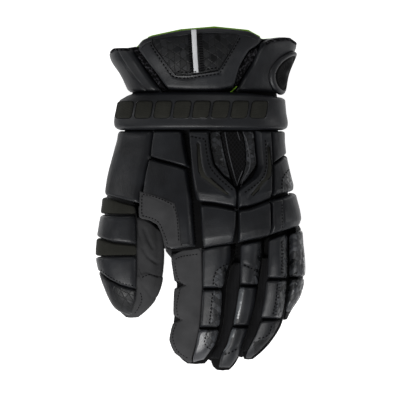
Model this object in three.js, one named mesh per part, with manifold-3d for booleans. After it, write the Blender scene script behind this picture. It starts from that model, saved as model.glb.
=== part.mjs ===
// Lacrosse glove for the left hand, lying palm down with the back of the hand up.
// Millimetres, +Z up, cuff towards +Y, fingertips towards -Y, thumb towards -X.
import * as THREE from 'three';
import Module from 'manifold-3d';

const wasm = await Module();
wasm.setup();

// Driving dimensions
const gloveLength = 330; // cuff rim to middle fingertip
const gloveWidth = 203; // outer side of the thumb to outer side of the little finger
const handHeight = 66; // surface it lies on to the top of the knuckle pads
const handPadding = 10; // foam of the hand's pads
const cuffPadding = 8; // foam of the cuff's pads
const thumbPadding = 7; // foam of the thumb's pads
const fingerPadding = 6.5; // foam of the finger pads
const littlePadding = 4.5; // foam of the little finger's pads
const wall = 2; // leather and lining of the carriers
const overlay = 2; // leather patches, straps' and gussets' own thickness
const panelRelief = 2.4; // patterned panel on the cuff
const laceRelief = 1.6; // lace above the patterned panel
const badgeRelief = 4; // badge above its wing
const padEdge = 3.2; // width of the rounded edge of a pad
const edgeDrop = 0.45; // share of a pad's thickness lost at its edge
const edgeLimit = 0.3; // most of a pad's width that one rounded edge may take
const strapDepth = 0.4; // share of the thumb's padding by which the straps lie below the pads at the crest
const seat = 0.7; // clearance under a piece that lies on another
const joint = 0.5; // clearance where two carriers meet end to end

// Fineness of the faceted solids: points round a tube and steps along it
const cuffSides = 24;
const handSides = 26;
const thumbSides = 16;
const fingerSides = 12;
const badgeSides = 12;
const cuffSteps = 5;
const handSteps = 12;
const thumbSteps = 9;
const fingerSteps = 9;
const littleSteps = 8;
const edgeSteps = 8; // points taken along each straight of a pad's edge

// The plan drawing: columns run across the glove's width, rows along its length
const planColumns = 210;
const planRows = 342;
const middleColumn = 200;
const middleRow = 200;
const cuffRow = 26; // beyond the rim, where the cuff's tube is cut
const wristRow = 92; // end of the cuff and start of the hand
const knuckleRow = 254; // beyond the knuckles, where the hand's tube is cut
const cavityRun = 4; // rows by which a cavity runs out of an open end
const tipRun = 11; // rows from a fingertip to the end of its cavity
const columnStep = gloveWidth / planColumns;
const rowStep = gloveLength / planRows;

// Rows of a table become objects with its column names
function table(names, lines) {
  return lines.map((line) => Object.fromEntries(names.map((name, i) => [name, line[i]])));
}

// Sections of each form: sides and crest in plan columns, heights as shares of handHeight
const sectionNames = ['row', 'left', 'crest', 'right', 'top', 'bottom'];

const cuffSections = table(sectionNames, [
  [27, 107, 200, 297.5, 1.1, -0.05],
  [47, 108.5, 200, 296.2, 1.04, -0.05],
  [60, 111, 200, 290.5, 0.98, -0.05],
  [75, 120.5, 202, 285, 0.9, -0.05],
  [92, 128.5, 205, 281.5, 0.83, -0.05],
]);

const handSections = table(sectionNames, [
  [92, 125, 205, 284.5, 0.87, -0.05],
  [102, 118.5, 205, 285.5, 0.93, -0.05],
  [113, 115, 206, 286.5, 0.95, -0.05],
  [124, 114, 207, 288, 0.93, -0.05],
  [134, 117.5, 208, 285, 0.9, -0.04],
  [150, 114, 212, 286, 0.93, -0.03],
  [175, 107.5, 218, 291, 0.97, 0],
  [196, 104.5, 225, 296.5, 1, 0.03],
  [220, 103, 230, 301.5, 1, 0.07],
  [252, 108, 232, 300, 0.9, 0.1],
]);

const thumbSections = table(sectionNames, [
  [192, 103, 122, 160, 0.72, 0],
  [205, 101.5, 122, 160, 0.7, -0.02],
  [216, 100, 123, 160.5, 0.68, -0.03],
  [228, 98, 124, 161.5, 0.65, -0.05],
  [240, 96.2, 126, 163, 0.62, -0.05],
  [256, 95.3, 127, 163.5, 0.59, -0.05],
  [272, 98.2, 128, 162.5, 0.54, -0.05],
  [288, 103.7, 129, 159.5, 0.47, -0.05],
  [302, 109.8, 130, 153, 0.37, -0.04],
  [312, 117, 130, 144, 0.25, -0.02],
  [318, 124.5, 130, 136.5, 0.13, 0.03],
]);

const indexSections = table(sectionNames, [
  [236, 169, 213, 234.6, 0.9, 0.12],
  [252, 170.5, 214, 233.8, 0.83, 0.12],
  [264, 171.5, 214, 231.3, 0.78, 0.1],
  [285, 174.5, 212, 227, 0.68, 0.07],
  [305, 173, 210, 225.3, 0.58, 0.02],
  [325, 170.5, 208, 222.9, 0.47, -0.03],
  [342, 169.8, 205, 218.3, 0.37, -0.05],
  [353, 174, 201, 212.3, 0.28, -0.03],
  [360, 180, 197, 208, 0.19, 0],
  [364.5, 186, 196, 204, 0.12, 0.04],
]);

const middleSections = table(sectionNames, [
  [232, 235, 249, 263, 0.92, 0.12],
  [250, 233.5, 249, 262.7, 0.83, 0.12],
  [264, 231, 247, 261.5, 0.78, 0.1],
  [285, 226.6, 244, 258.3, 0.68, 0.07],
  [305, 224.9, 241, 255.2, 0.58, 0.02],
  [325, 222.6, 236, 249.8, 0.46, -0.03],
  [345, 217.3, 230, 242.5, 0.35, -0.05],
  [358, 210, 226, 238.2, 0.26, -0.03],
  [366.5, 211.5, 224, 233, 0.17, 0],
  [371, 216, 223, 228.5, 0.11, 0.04],
]);

const ringSections = table(sectionNames, [
  [224, 263, 276, 288.4, 0.88, 0.12],
  [245, 262.7, 276, 288.4, 0.81, 0.12],
  [264, 261.4, 276, 288.4, 0.76, 0.1],
  [285, 258, 274, 287.8, 0.66, 0.07],
  [305, 255, 271, 285.5, 0.55, 0.02],
  [325, 249.5, 265, 281, 0.43, -0.03],
  [342, 244.5, 257, 271, 0.32, -0.04],
  [353, 241, 249, 261, 0.22, 0],
  [360, 243.5, 247.5, 252.5, 0.13, 0.04],
]);

const littleSections = table(sectionNames, [
  [222, 288.2, 295, 302, 0.74, 0.12],
  [245, 288, 296, 304, 0.68, 0.1],
  [266, 287.9, 297, 305.6, 0.6, 0.06],
  [280, 287.8, 296.5, 305, 0.54, 0.02],
  [293, 286.8, 294, 302.3, 0.46, -0.03],
  [305, 284.8, 290, 297, 0.36, -0.04],
  [314, 283.2, 286.8, 291.2, 0.25, 0],
  [320, 281.8, 285, 288, 0.15, 0.05],
]);

// Limits of the forms in plan, as column and row
const cuffRim = [
  [100, 62], [108.5, 56], [109, 53], [113, 49], [130, 46.5], [135, 47], [143, 39.5], [150, 36.8], [180, 30.8],
  [215, 28], [250, 31.3], [264, 38.6], [270, 39], [290, 37.2], [294, 39.5], [298, 45], [306, 52],
];
const knuckleLine = [
  [80, 262], [165, 251.5], [200, 249], [234, 243.5], [262, 239.8], [273, 236.3], [320, 222.6],
];
const thumbLine = [
  [80, 190], [104, 196.3], [120, 200.3], [138.9, 204.8], [139.3, 218], [142, 219.6], [150, 220.6], [158, 225],
  [163, 235], [165.5, 251],
];

// Plan drawing to millimetres
const planX = (column) => (column - middleColumn) * columnStep;
const planY = (row) => (middleRow - row) * rowStep;
const clamp = (value, low, high) => Math.min(high, Math.max(low, value));
const mix = (a, b, t) => a + (b - a) * t;
const smooth = (t) => t * t * (3 - 2 * t);

// Smooth curve through one column of a section table, level beyond its ends
function readSection(sections, row, name) {
  const last = sections.length - 1;
  if (row <= sections[0].row) return sections[0][name];
  if (row >= sections[last].row) return sections[last][name];
  const k = sections.findIndex((section, i) => i < last && row < sections[i + 1].row);
  const slope = (i) => {
    const a = sections[Math.max(0, i - 1)];
    const b = sections[Math.min(last, i + 1)];
    return (b[name] - a[name]) / (b.row - a.row);
  };
  const span = sections[k + 1].row - sections[k].row;
  const t = (row - sections[k].row) / span;
  const t2 = t * t;
  const t3 = t2 * t;
  return (2 * t3 - 3 * t2 + 1) * sections[k][name] + (t3 - 2 * t2 + t) * span * slope(k)
    + (3 * t2 - 2 * t3) * sections[k + 1][name] + (t3 - t2) * span * slope(k + 1);
}

const floorPower = 3.2; // squareness of the palm side
const paddingShare = 0.42; // most of a half height that padding may take
const leastReach = 0.6; // smallest half width or height of a section, at a tip
const coverPower = 0.8; // how fast the padding thins from the crest to the sides
const bareSine = 0.75; // sine of the angle below the sides where padding and its clearance end
const seatFade = 0.25; // sine over which that clearance closes

// Forms: powers are the squareness of the curve from crest to side, covers the padding kept at the side
function makeForm(sections, padding, [leftPower, rightPower, leftCover, rightCover]) {
  const [first, last] = [sections[0].row, sections.at(-1).row];
  return { sections, padding, leftPower, rightPower, leftCover, rightCover, first, last };
}

const cuffForm = makeForm(cuffSections, cuffPadding, [2, 2, 0.7, 0.7]);
const handForm = makeForm(handSections, handPadding, [1.75, 2.2, 0.7, 0.7]);
const thumbForm = makeForm(thumbSections, thumbPadding, [2.4, 2.2, 0.8, 0.1]);
const indexForm = makeForm(indexSections, fingerPadding, [1.9, 2.4, 0.3, 0.05]);
const middleForm = makeForm(middleSections, fingerPadding, [2.4, 2.4, 0.1, 0.05]);
const ringForm = makeForm(ringSections, fingerPadding, [2.4, 2.4, 0.1, 0.05]);
const littleForm = makeForm(littleSections, littlePadding, [2.4, 2.2, 0.1, 0.6]);

// Share of the padding that lies over a point of the section
function coverAt(form, angle) {
  const side = Math.cos(angle) > 0 ? form.rightCover : form.leftCover;
  const rise = Math.sin(angle);
  if (rise >= 0) return side + (1 - side) * rise ** coverPower;
  return side * (1 - smooth(clamp(-rise / bareSine, 0, 1)));
}

// Point of a form: angle round the section, row, and depth below the visible outer surface
function formPoint(form, angle, row, depth, floor = 0) {
  const read = (name) => readSection(form.sections, row, name);
  const c = Math.cos(angle);
  const s = Math.sin(angle);
  const power = s < 0 ? floorPower : c > 0 ? form.rightPower : form.leftPower;
  const crest = planX(read('crest'));
  const reach = Math.abs(planX(c > 0 ? read('right') : read('left')) - crest);
  const top = read('top') * handHeight;
  const bottom = read('bottom') * handHeight;
  const half = (top - bottom) / 2;
  const outward = Math.max(reach - depth, leastReach) * Math.abs(c) ** (2 / power);
  const upward = Math.max(half - depth, leastReach) * Math.abs(s) ** (2 / power);
  const z = bottom + half + Math.sign(s) * upward;
  return [crest + Math.sign(c) * outward, planY(row), Math.max(z, floor)];
}

// Angle of the point of a form that lies at a column of the plan, held at the form's widest line
function angleAt(form, column, row) {
  const crest = readSection(form.sections, row, 'crest');
  const isRight = column > crest;
  const side = readSection(form.sections, row, isRight ? 'right' : 'left');
  const share = clamp((column - crest) / (side - crest), 0, 1);
  const fromSide = Math.acos(share ** ((isRight ? form.rightPower : form.leftPower) / 2));
  return isRight ? fromSide : Math.PI - fromSide;
}

// Padding over the carrier at a point, thinner where the form runs out at a tip
function paddingAt(form, angle, row) {
  const read = (name) => readSection(form.sections, row, name);
  const half = (read('top') - read('bottom')) * handHeight / 2;
  return Math.min(form.padding, half * paddingShare) * coverAt(form, angle);
}

// Clearance under the pads, closing towards the bare palm side
const seatAt = (angle) => seat * smooth(clamp((Math.sin(angle) + bareSine) / seatFade, 0, 1));

// Closed faceted solid from its points and triangles, turned so that its faces point out
function closedSolid(points, faces) {
  let volume = 0;
  for (const [a, b, c] of faces) {
    const [p, q, r] = [points[a], points[b], points[c]];
    volume += p[0] * (q[1] * r[2] - q[2] * r[1]) - p[1] * (q[0] * r[2] - q[2] * r[0])
      + p[2] * (q[0] * r[1] - q[1] * r[0]);
  }
  return { points, faces: volume > 0 ? faces : faces.map(([a, b, c]) => [a, c, b]) };
}

// Loft of one form between two rows: sides samples round, capped at both ends
function loft(form, rows, sides, depthAt, floor) {
  const points = [];
  const faces = [];
  for (const row of rows) {
    for (let i = 0; i < sides; i += 1) {
      const angle = 2 * Math.PI * i / sides;
      points.push(formPoint(form, angle, row, depthAt(angle, row), floor));
    }
  }
  for (let k = 0; k + 1 < rows.length; k += 1) {
    for (let i = 0; i < sides; i += 1) {
      const a = k * sides + i;
      const b = k * sides + (i + 1) % sides;
      faces.push([a, b, b + sides], [a, b + sides, a + sides]);
    }
  }
  const lastRing = (rows.length - 1) * sides;
  for (const [start, isFirst] of [[0, true], [lastRing, false]]) {
    const ring = points.slice(start, start + sides);
    const centre = [0, 1, 2].map((axis) => ring.reduce((sum, point) => sum + point[axis], 0) / sides);
    points.push(centre);
    for (let i = 0; i < sides; i += 1) {
      const a = start + i;
      const b = start + (i + 1) % sides;
      faces.push(isFirst ? [b, a, points.length - 1] : [a, b, points.length - 1]);
    }
  }
  return closedSolid(points, faces);
}

// Between the faceted solids here and the solids that can be joined and cut
function toSolid({ points, faces }) {
  return new wasm.Manifold(new wasm.Mesh({
    numProp: 3,
    vertProperties: new Float32Array(points.flat()),
    triVerts: new Uint32Array(faces.flat()),
  }));
}

function fromSolid(solid) {
  const mesh = solid.getMesh();
  const points = [];
  for (let i = 0; i < mesh.vertProperties.length; i += mesh.numProp) {
    points.push(Array.from(mesh.vertProperties.subarray(i, i + 3)));
  }
  const faces = [];
  for (let i = 0; i < mesh.triVerts.length; i += 3) {
    faces.push(Array.from(mesh.triVerts.subarray(i, i + 3)));
  }
  return { points, faces };
}

// Upright prism over a plan outline, tall enough to cut any form
function prism(outline, shiftX, shiftY) {
  const shape = new THREE.Shape(outline.map(([column, row]) => new THREE.Vector2(planX(column), planY(row))));
  const height = handHeight * 3;
  const geometry = new THREE.ExtrudeGeometry(shape, { depth: height, bevelEnabled: false });
  geometry.translate(shiftX, shiftY, -height / 3);
  const position = geometry.getAttribute('position');
  const points = [];
  const places = new Map();
  const faces = [];
  for (let i = 0; i < position.count; i += 3) {
    const face = [0, 1, 2].map((k) => {
      const point = [position.getX(i + k), position.getY(i + k), position.getZ(i + k)];
      const key = point.map((value) => value.toFixed(4)).join();
      if (!places.has(key)) places.set(key, points.push(point) - 1);
      return places.get(key);
    });
    faces.push(face);
  }
  return toSolid(closedSolid(points, faces));
}

// Evenly spaced rows
function spacedRows(first, last, count) {
  return Array.from({ length: count + 1 }, (_, i) => mix(first, last, i / count));
}

// Carrier: the form below its padding, hollow by the wall, open where the cavity runs out of it
function carrier(form, rows, cavityRows, sides) {
  const outer = loft(form, rows, sides, (angle, row) => paddingAt(form, angle, row) + seatAt(angle), 0);
  const inner = loft(form, cavityRows, sides,
    (angle, row) => paddingAt(form, angle, row) + seatAt(angle) + wall, wall);
  return toSolid(outer).subtract(toSolid(inner));
}

// Point of a polyline at a share of its length
function along(line, share) {
  const lengths = line.slice(1).map(([x, y], i) => Math.hypot(x - line[i][0], y - line[i][1]));
  let rest = share * lengths.reduce((sum, length) => sum + length, 0);
  let k = 0;
  while (k < lengths.length - 1 && rest > lengths[k]) {
    rest -= lengths[k];
    k += 1;
  }
  const t = lengths[k] > 0 ? clamp(rest / lengths[k], 0, 1) : 0;
  return [mix(line[k][0], line[k + 1][0], t), mix(line[k][1], line[k + 1][1], t)];
}

// Plan edge of a pad rolled off the form: angle and row, both in millimetres
function unroll(form, line) {
  const radius = planX(readSection(form.sections, line[0][1], 'right'))
    - planX(readSection(form.sections, line[0][1], 'left'));
  const points = [];
  for (let k = 0; k + 1 < line.length; k += 1) {
    for (let i = k === 0 ? 0 : 1; i <= edgeSteps; i += 1) {
      const [column, row] = [0, 1].map((axis) => mix(line[k][axis], line[k + 1][axis], i / edgeSteps));
      points.push([-angleAt(form, column, row) * radius / 2, row * rowStep]);
    }
  }
  return { points, radius: radius / 2 };
}

// Patch between four edges, left and right running down, top and bottom running across
function makePatch(form, pad) {
  const top = pad.top ?? [pad.left[0], pad.right[0]];
  const bottom = pad.bottom ?? [pad.left.at(-1), pad.right.at(-1)];
  const radius = unroll(form, top).radius;
  const edges = [pad.left, pad.right, top, bottom].map((line) => {
    const rolled = unroll(form, line);
    return rolled.points.map(([x, y]) => [x * radius / rolled.radius, y]);
  });
  const at = (u, v) => {
    const [l, r, t, b] = [along(edges[0], v), along(edges[1], v), along(edges[2], u), along(edges[3], u)];
    return [0, 1].map((axis) => {
      const above = mix(edges[2][0][axis], edges[2].at(-1)[axis], u);
      const below = mix(edges[3][0][axis], edges[3].at(-1)[axis], u);
      return mix(l[axis], r[axis], u) + mix(t[axis], b[axis], v) - mix(above, below, v);
    });
  };
  return { at, toForm: ([x, y]) => [-x / radius, y / rowStep] };
}

// Shares across a patch with one sample at each rounded edge
function edgeShares(from, to, count) {
  const edge = Math.min(padEdge / Math.hypot(to[0] - from[0], to[1] - from[1]), edgeLimit);
  return [0, ...spacedRows(edge, 1 - edge, count), 1];
}

// Pad, patch or strip over a form; layer says between which depths it lies
function padSolid({ form, layer, across, down, ...pad }) {
  const patch = makePatch(form, pad);
  const us = edgeShares(patch.at(0, 0.5), patch.at(1, 0.5), across);
  const vs = edgeShares(patch.at(0.5, 0), patch.at(0.5, 1), down);
  const points = [];
  const faces = [];
  const isEdge = (i, j) => i === 0 || j === 0 || i === us.length - 1 || j === vs.length - 1;
  for (const isTop of [true, false]) {
    vs.forEach((v, j) => us.forEach((u, i) => {
      const [angle, row] = patch.toForm(patch.at(u, v));
      const [high, low] = layer(form, angle, row);
      const edge = mix(high, low, isEdge(i, j) ? edgeDrop : 0);
      points.push(formPoint(form, angle, row, isTop ? edge : low));
    }));
  }
  const wide = us.length;
  const under = wide * vs.length;
  for (let j = 0; j + 1 < vs.length; j += 1) {
    for (let i = 0; i + 1 < wide; i += 1) {
      const a = j * wide + i;
      const b = under + a;
      faces.push([a, a + 1, a + wide + 1], [a, a + wide + 1, a + wide]);
      faces.push([b, b + wide + 1, b + 1], [b, b + wide, b + wide + 1]);
    }
  }
  const rim = [];
  for (let i = 0; i + 1 < wide; i += 1) rim.push([i, i + 1]);
  for (let j = 0; j + 1 < vs.length; j += 1) rim.push([j * wide + wide - 1, (j + 1) * wide + wide - 1]);
  for (let i = wide - 1; i > 0; i -= 1) rim.push([under - wide + i, under - wide + i - 1]);
  for (let j = vs.length - 1; j > 0; j -= 1) rim.push([j * wide, (j - 1) * wide]);
  for (const [a, b] of rim) faces.push([b, a, under + a], [b, under + a, under + b]);
  return closedSolid(points, faces);
}

// Layers: a full pad reaches the outer surface, an overlay lies on the carrier, the others on a pad
const fullPad = (form, angle, row) => [0, paddingAt(form, angle, row)];
const thinOverlay = (form, angle, row) => {
  const depth = paddingAt(form, angle, row);
  return [Math.max(depth - overlay, 0), depth];
};
const strapLayer = (form, angle, row) => {
  const depth = paddingAt(form, angle, row);
  return [depth * strapDepth * smooth(clamp(Math.sin(angle), 0, 1)), depth];
};
const patchOnPad = () => [-seat - overlay, -seat];
const panelOnPad = () => [-seat - panelRelief, -seat];
const laceOnPanel = () => [-2 * seat - panelRelief - laceRelief, -2 * seat - panelRelief];

// Pads: form, layer, samples across and down, and the plan edges
const pads = {
  cuff_centre_pad: {
    form: cuffForm, layer: fullPad, across: 6, down: 3, look: 'leather',
    top: [[137, 48.5], [143, 41.5], [150, 38.5], [180, 32.5], [215, 30], [250, 33.5], [263.5, 41]],
    left: [[137, 48.5], [148, 64], [158, 77], [166, 88]],
    right: [[263.5, 41], [257, 46.5], [250, 51], [241, 66], [235, 86]],
    bottom: [[166, 88], [185, 89.7], [205, 90], [220, 89.5], [235, 86]],
  },
  cuff_inset_panel: {
    form: cuffForm, layer: panelOnPad, across: 5, down: 4, look: 'print',
    top: [[153, 39.5], [170, 37], [195, 35], [220, 34], [238, 34.5]],
    left: [[153, 39.5], [153.5, 45], [161, 55], [176, 74]],
    right: [[238, 34.5], [230, 51], [223, 62], [218, 70]],
    bottom: [[176, 74], [188, 75], [200, 73.5], [218, 70]],
  },
  cuff_lace: {
    form: cuffForm, layer: laceOnPanel, across: 1, down: 5, look: 'lace',
    left: [[192, 36], [193, 55], [194.5, 72.5]],
    right: [[196.3, 36], [197, 55], [198.5, 72.3]],
  },
  cuff_thumb_wing: {
    form: cuffForm, layer: fullPad, across: 4, down: 3, look: 'leather',
    top: [[107.5, 54], [113.5, 49.8], [127, 50]],
    left: [[107.5, 54], [109, 60], [118, 76], [126, 91]],
    right: [[127, 50], [142, 71], [157.5, 91]],
  },
  cuff_outer_wing: {
    form: cuffForm, layer: fullPad, across: 6, down: 4, look: 'leather',
    top: [[265.5, 47], [271, 42.5], [280, 40], [291, 39.3], [297, 44]],
    left: [[265.5, 47], [255.5, 64.5], [245.5, 79], [239.5, 90.5]],
    right: [[297, 44], [294.5, 56], [290, 70], [283.5, 91]],
  },
  cuff_thumb_knit: {
    form: cuffForm, layer: thinOverlay, across: 1, down: 4, look: 'knit',
    left: [[128.6, 50], [143.5, 71], [158.8, 91]],
    right: [[135, 50], [147.5, 67], [164, 90.5]],
  },
  cuff_outer_knit: {
    form: cuffForm, layer: thinOverlay, across: 1, down: 4, look: 'knit',
    left: [[259, 47.5], [252.5, 52.5], [243.5, 67.5], [236.5, 86]],
    right: [[264.4, 49], [254, 64], [244, 78.5], [238, 90.5]],
  },
  wrist_band: {
    form: handForm, layer: fullPad, across: 15, down: 3, look: 'leather',
    top: [[122, 98], [127, 95], [140, 93.5], [200, 92.8], [250, 94], [270, 96.3], [286, 98.5]],
    left: [[122, 98], [116, 106], [112, 118], [112.5, 129.5]],
    right: [[286, 98.5], [289, 108], [291, 120], [289, 129.5]],
  },
  thumb_base_pad: {
    form: handForm, layer: fullPad, across: 5, down: 5, look: 'leather',
    left: [[116, 131.5], [113.5, 145], [109.5, 158], [104.5, 178], [102, 194.7]],
    right: [[150, 131.5], [149, 145], [147, 157], [143, 170], [140, 185], [136.5, 203]],
    bottom: [[102, 194.7], [120, 199], [136.5, 203]],
  },
  back_pad_upper: {
    form: handForm, layer: fullPad, across: 3, down: 3, look: 'leather',
    left: [[153, 131.5], [151, 143], [149.5, 156.5]],
    right: [[180, 131.5], [183, 150], [186.5, 166.8]],
    bottom: [[149.5, 156.5], [162, 160], [175, 163.5], [186.5, 166.8]],
  },
  back_pad_lower: {
    form: handForm, layer: fullPad, across: 4, down: 6, look: 'leather',
    top: [[148.3, 159.3], [160, 162.8], [175, 166.5], [184, 169.5]],
    left: [[148.3, 159.3], [144.5, 174], [142, 190], [140.6, 205], [140.6, 216.5]],
    right: [[184, 169.5], [187, 190], [189.5, 215], [191.5, 246]],
    bottom: [[140.6, 216.5], [150, 218.6], [158.5, 222.5], [164.5, 234], [168, 248], [191.5, 246]],
  },
  web_patch: {
    form: handForm, layer: patchOnPad, across: 4, down: 5, look: 'palm',
    top: [[142, 192.3], [153, 195.5], [165, 199.5], [173, 203.5]],
    left: [[142, 192.3], [141.3, 205], [141.3, 216]],
    right: [[173, 203.5], [176.5, 211], [178.5, 225], [180, 237], [181.5, 245.5]],
    bottom: [[141.3, 216], [150, 218.8], [158, 223.5], [163.5, 235], [167.5, 245.8], [181.5, 245.5]],
  },
  chevron_thumb_side: {
    form: handForm, layer: fullPad, across: 4, down: 7, look: 'leather',
    left: [[188, 131.5], [190.5, 160], [192, 178], [195, 199.5]],
    right: [[208, 131.5], [209.5, 148], [213, 165], [222, 176], [236.5, 190], [237, 207.5]],
    bottom: [[195, 199.5], [200, 201.8], [215, 203.5], [237, 207.5]],
  },
  chevron_outer_side: {
    form: handForm, layer: fullPad, across: 4, down: 7, look: 'leather',
    left: [[261, 131.5], [262, 150], [263, 166], [258, 177], [239, 191], [238.7, 207.5]],
    right: [[271.5, 131.5], [272.5, 150], [273, 170], [273.5, 198.5]],
    bottom: [[238.7, 207.5], [250, 206.5], [262, 203], [273.5, 198.5]],
  },
  vent_panel_thumb_side: {
    form: handForm, layer: thinOverlay, across: 1, down: 4, look: 'print',
    left: [[209.5, 131.5], [211.2, 148], [214.5, 163.5], [226, 176.5]],
    right: [[221.3, 131.5], [224.5, 150], [228, 165], [232, 179]],
  },
  vent_mesh: {
    form: handForm, layer: thinOverlay, across: 3, down: 5, look: 'mesh',
    left: [[222.5, 131.5], [225.8, 150], [229.3, 165], [236, 187]],
    right: [[246.4, 131.5], [249.4, 150], [248.4, 167], [238.7, 187]],
  },
  vent_panel_outer_side: {
    form: handForm, layer: thinOverlay, across: 1, down: 4, look: 'print',
    left: [[247.6, 131.5], [250.6, 150], [249.8, 167], [241.5, 184.5]],
    right: [[259.3, 131.5], [260.3, 150], [261.2, 165], [245.5, 183.5]],
  },
  outer_pad_upper: {
    form: handForm, layer: fullPad, across: 3, down: 2, look: 'leather',
    left: [[274, 131.5], [274.5, 150], [274.8, 163]],
    right: [[287, 131.5], [288.5, 140], [289.5, 152.5]],
  },
  outer_pad_lower: {
    form: handForm, layer: fullPad, across: 3, down: 3, look: 'leather',
    top: [[274.8, 166], [289.8, 155.5]],
    left: [[274.8, 166], [275.3, 180], [275.5, 196]],
    right: [[289.8, 155.5], [293.5, 168], [296.5, 180], [299, 190]],
  },
  knuckle_pad_index: {
    form: handForm, layer: fullPad, across: 4, down: 3, look: 'leather',
    top: [[199.5, 205], [217, 206.8], [236.5, 211]],
    left: [[199.5, 205], [200.5, 225], [202, 246.5]],
    right: [[236.5, 211], [236, 225], [233, 241.3]],
  },
  knuckle_pad_middle: {
    form: handForm, layer: fullPad, across: 4, down: 3, look: 'leather',
    top: [[239, 211], [250, 209.5], [271, 202]],
    left: [[239, 211], [239, 228], [239.5, 240.7]],
    right: [[271, 202], [271.5, 220], [271.7, 234.3]],
  },
  knuckle_pad_outer: {
    form: handForm, layer: fullPad, across: 5, down: 3, look: 'leather',
    top: [[273.5, 201], [285, 198.5], [300, 193.5]],
    left: [[273.5, 201], [273.5, 220], [273.7, 233.7]],
    right: [[300, 193.5], [303.5, 212], [304.5, 222], [302, 225.5]],
  },
  thumb_strap_upper: {
    form: thumbForm, layer: strapLayer, across: 4, down: 2, look: 'strap',
    top: [[101.5, 197.5], [120, 202.3], [137, 206.3]],
    left: [[101.5, 197.5], [100, 206], [98.8, 213.5]],
    right: [[137, 206.3], [137.2, 210], [137.2, 214]],
  },
  thumb_middle_pad: {
    form: thumbForm, layer: fullPad, across: 4, down: 3, look: 'leather',
    top: [[98.3, 215.6], [118, 216.2], [137.2, 215.6]],
    left: [[98.3, 215.6], [96.5, 226], [95, 236.5]],
    right: [[137.2, 215.6], [138, 228], [138, 244]],
    bottom: [[95, 236.5], [112, 241.5], [138, 244]],
  },
  thumb_strap_lower: {
    form: thumbForm, layer: strapLayer, across: 4, down: 2, look: 'strap',
    top: [[94.8, 238.3], [112, 243.3], [138, 245.8]],
    left: [[94.8, 238.3], [93.8, 247], [93.6, 256]],
    right: [[138, 245.8], [138, 250], [137.8, 255]],
  },
  thumb_tip_pad: {
    form: thumbForm, layer: fullPad, across: 4, down: 3, look: 'leather',
    top: [[93.7, 257.6], [116, 257.2], [137.8, 256.6]],
    left: [[93.7, 257.6], [95, 264], [97.3, 270.5]],
    right: [[137.8, 256.6], [137.6, 272], [137, 289]],
    bottom: [[97.3, 270.5], [109, 279.3], [120, 284.5], [137, 289]],
  },
  thumb_tip_cap: {
    form: thumbForm, layer: fullPad, across: 5, down: 3, look: 'print',
    top: [[97.8, 272.3], [109, 281], [120, 286.3], [137, 290.8]],
    left: [[97.8, 272.3], [103.5, 289], [111, 305], [120, 312.5]],
    right: [[137, 290.8], [135.5, 303], [131.5, 315]],
    bottom: [[120, 312.5], [126, 315], [131.5, 315]],
  },
  index_pad_1: {
    form: indexForm, layer: fullPad, across: 3, down: 2, look: 'leather',
    top: [[202, 251], [212, 248.8], [228.5, 246]],
    left: [[202, 251], [202, 270], [202, 287.5]],
    right: [[228.5, 246], [229, 262], [224.8, 273], [223, 287.5]],
  },
  index_pad_2: {
    form: indexForm, layer: fullPad, across: 3, down: 2, look: 'leather',
    left: [[202, 290.5], [201, 310], [199.5, 327]],
    right: [[222.5, 290.5], [221.8, 310], [219.8, 327]],
  },
  index_pad_3: {
    form: indexForm, layer: fullPad, across: 3, down: 2, look: 'leather',
    left: [[199, 330.5], [196.5, 345], [193, 359.5]],
    right: [[219, 330.5], [214.5, 345], [206, 357]],
  },
  index_side_panel: {
    form: indexForm, layer: thinOverlay, across: 3, down: 7, look: 'palm',
    top: [[173, 258], [180, 254.5], [199.5, 252]],
    left: [[173, 258], [175.5, 275], [175.5, 300], [174.5, 325], [173, 341], [178.5, 354], [187, 360.5]],
    right: [[199.5, 252], [200.5, 285], [198.5, 320], [195, 342], [191, 359.5]],
  },
  middle_pad_1: {
    form: middleForm, layer: fullPad, across: 3, down: 2, look: 'leather',
    left: [[240.5, 246], [240, 262], [239, 284]],
    right: [[260.8, 243], [260, 262], [256.3, 284]],
  },
  middle_pad_2: {
    form: middleForm, layer: fullPad, across: 3, down: 2, look: 'leather',
    left: [[238.5, 287.5], [236, 305], [232.5, 325]],
    right: [[256, 287.5], [253.3, 305], [248, 325]],
  },
  middle_pad_3: {
    form: middleForm, layer: fullPad, across: 3, down: 3, look: 'leather',
    left: [[231.5, 328.5], [227, 345], [221.5, 354], [219, 366]],
    right: [[247, 328.5], [240.5, 345], [237, 356], [231.5, 366]],
  },
  ring_pad_1: {
    form: ringForm, layer: fullPad, across: 3, down: 2, look: 'leather',
    left: [[268.5, 241.5], [268.3, 260], [267.8, 277.5]],
    right: [[287, 236], [287, 260], [286.6, 277.5]],
  },
  ring_pad_2: {
    form: ringForm, layer: fullPad, across: 3, down: 2, look: 'leather',
    left: [[267, 281], [265, 300], [261.5, 318]],
    right: [[286.5, 281], [284.5, 300], [281, 318]],
  },
  ring_pad_3: {
    form: ringForm, layer: fullPad, across: 3, down: 2, look: 'leather',
    left: [[260.8, 321.3], [255.5, 335], [248.5, 350], [246, 356.5]],
    right: [[280, 321.3], [272, 336], [259.5, 350], [252.5, 356.5]],
  },
  little_pad_1: {
    form: littleForm, layer: fullPad, across: 3, down: 3, look: 'leather',
    left: [[289.7, 235], [289.8, 255], [289.7, 276]],
    right: [[304, 231.5], [305.5, 255], [306.3, 276]],
  },
  little_pad_2: {
    form: littleForm, layer: fullPad, across: 3, down: 3, look: 'leather',
    left: [[289.4, 279.5], [288, 297], [286.3, 309.5]],
    right: [[305.8, 279.5], [301, 297], [293, 309.5]],
  },
  gusset_index_middle: {
    form: middleForm, layer: thinOverlay, across: 1, down: 8, look: 'gusset',
    left: [[233.4, 263], [228.6, 276], [225.8, 300], [222.8, 326], [217.5, 346], [211.5, 359]],
    right: [[238.5, 263], [237, 286], [232, 316], [228.5, 332], [224.5, 345], [218, 359]],
  },
  gusset_middle_ring: {
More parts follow.
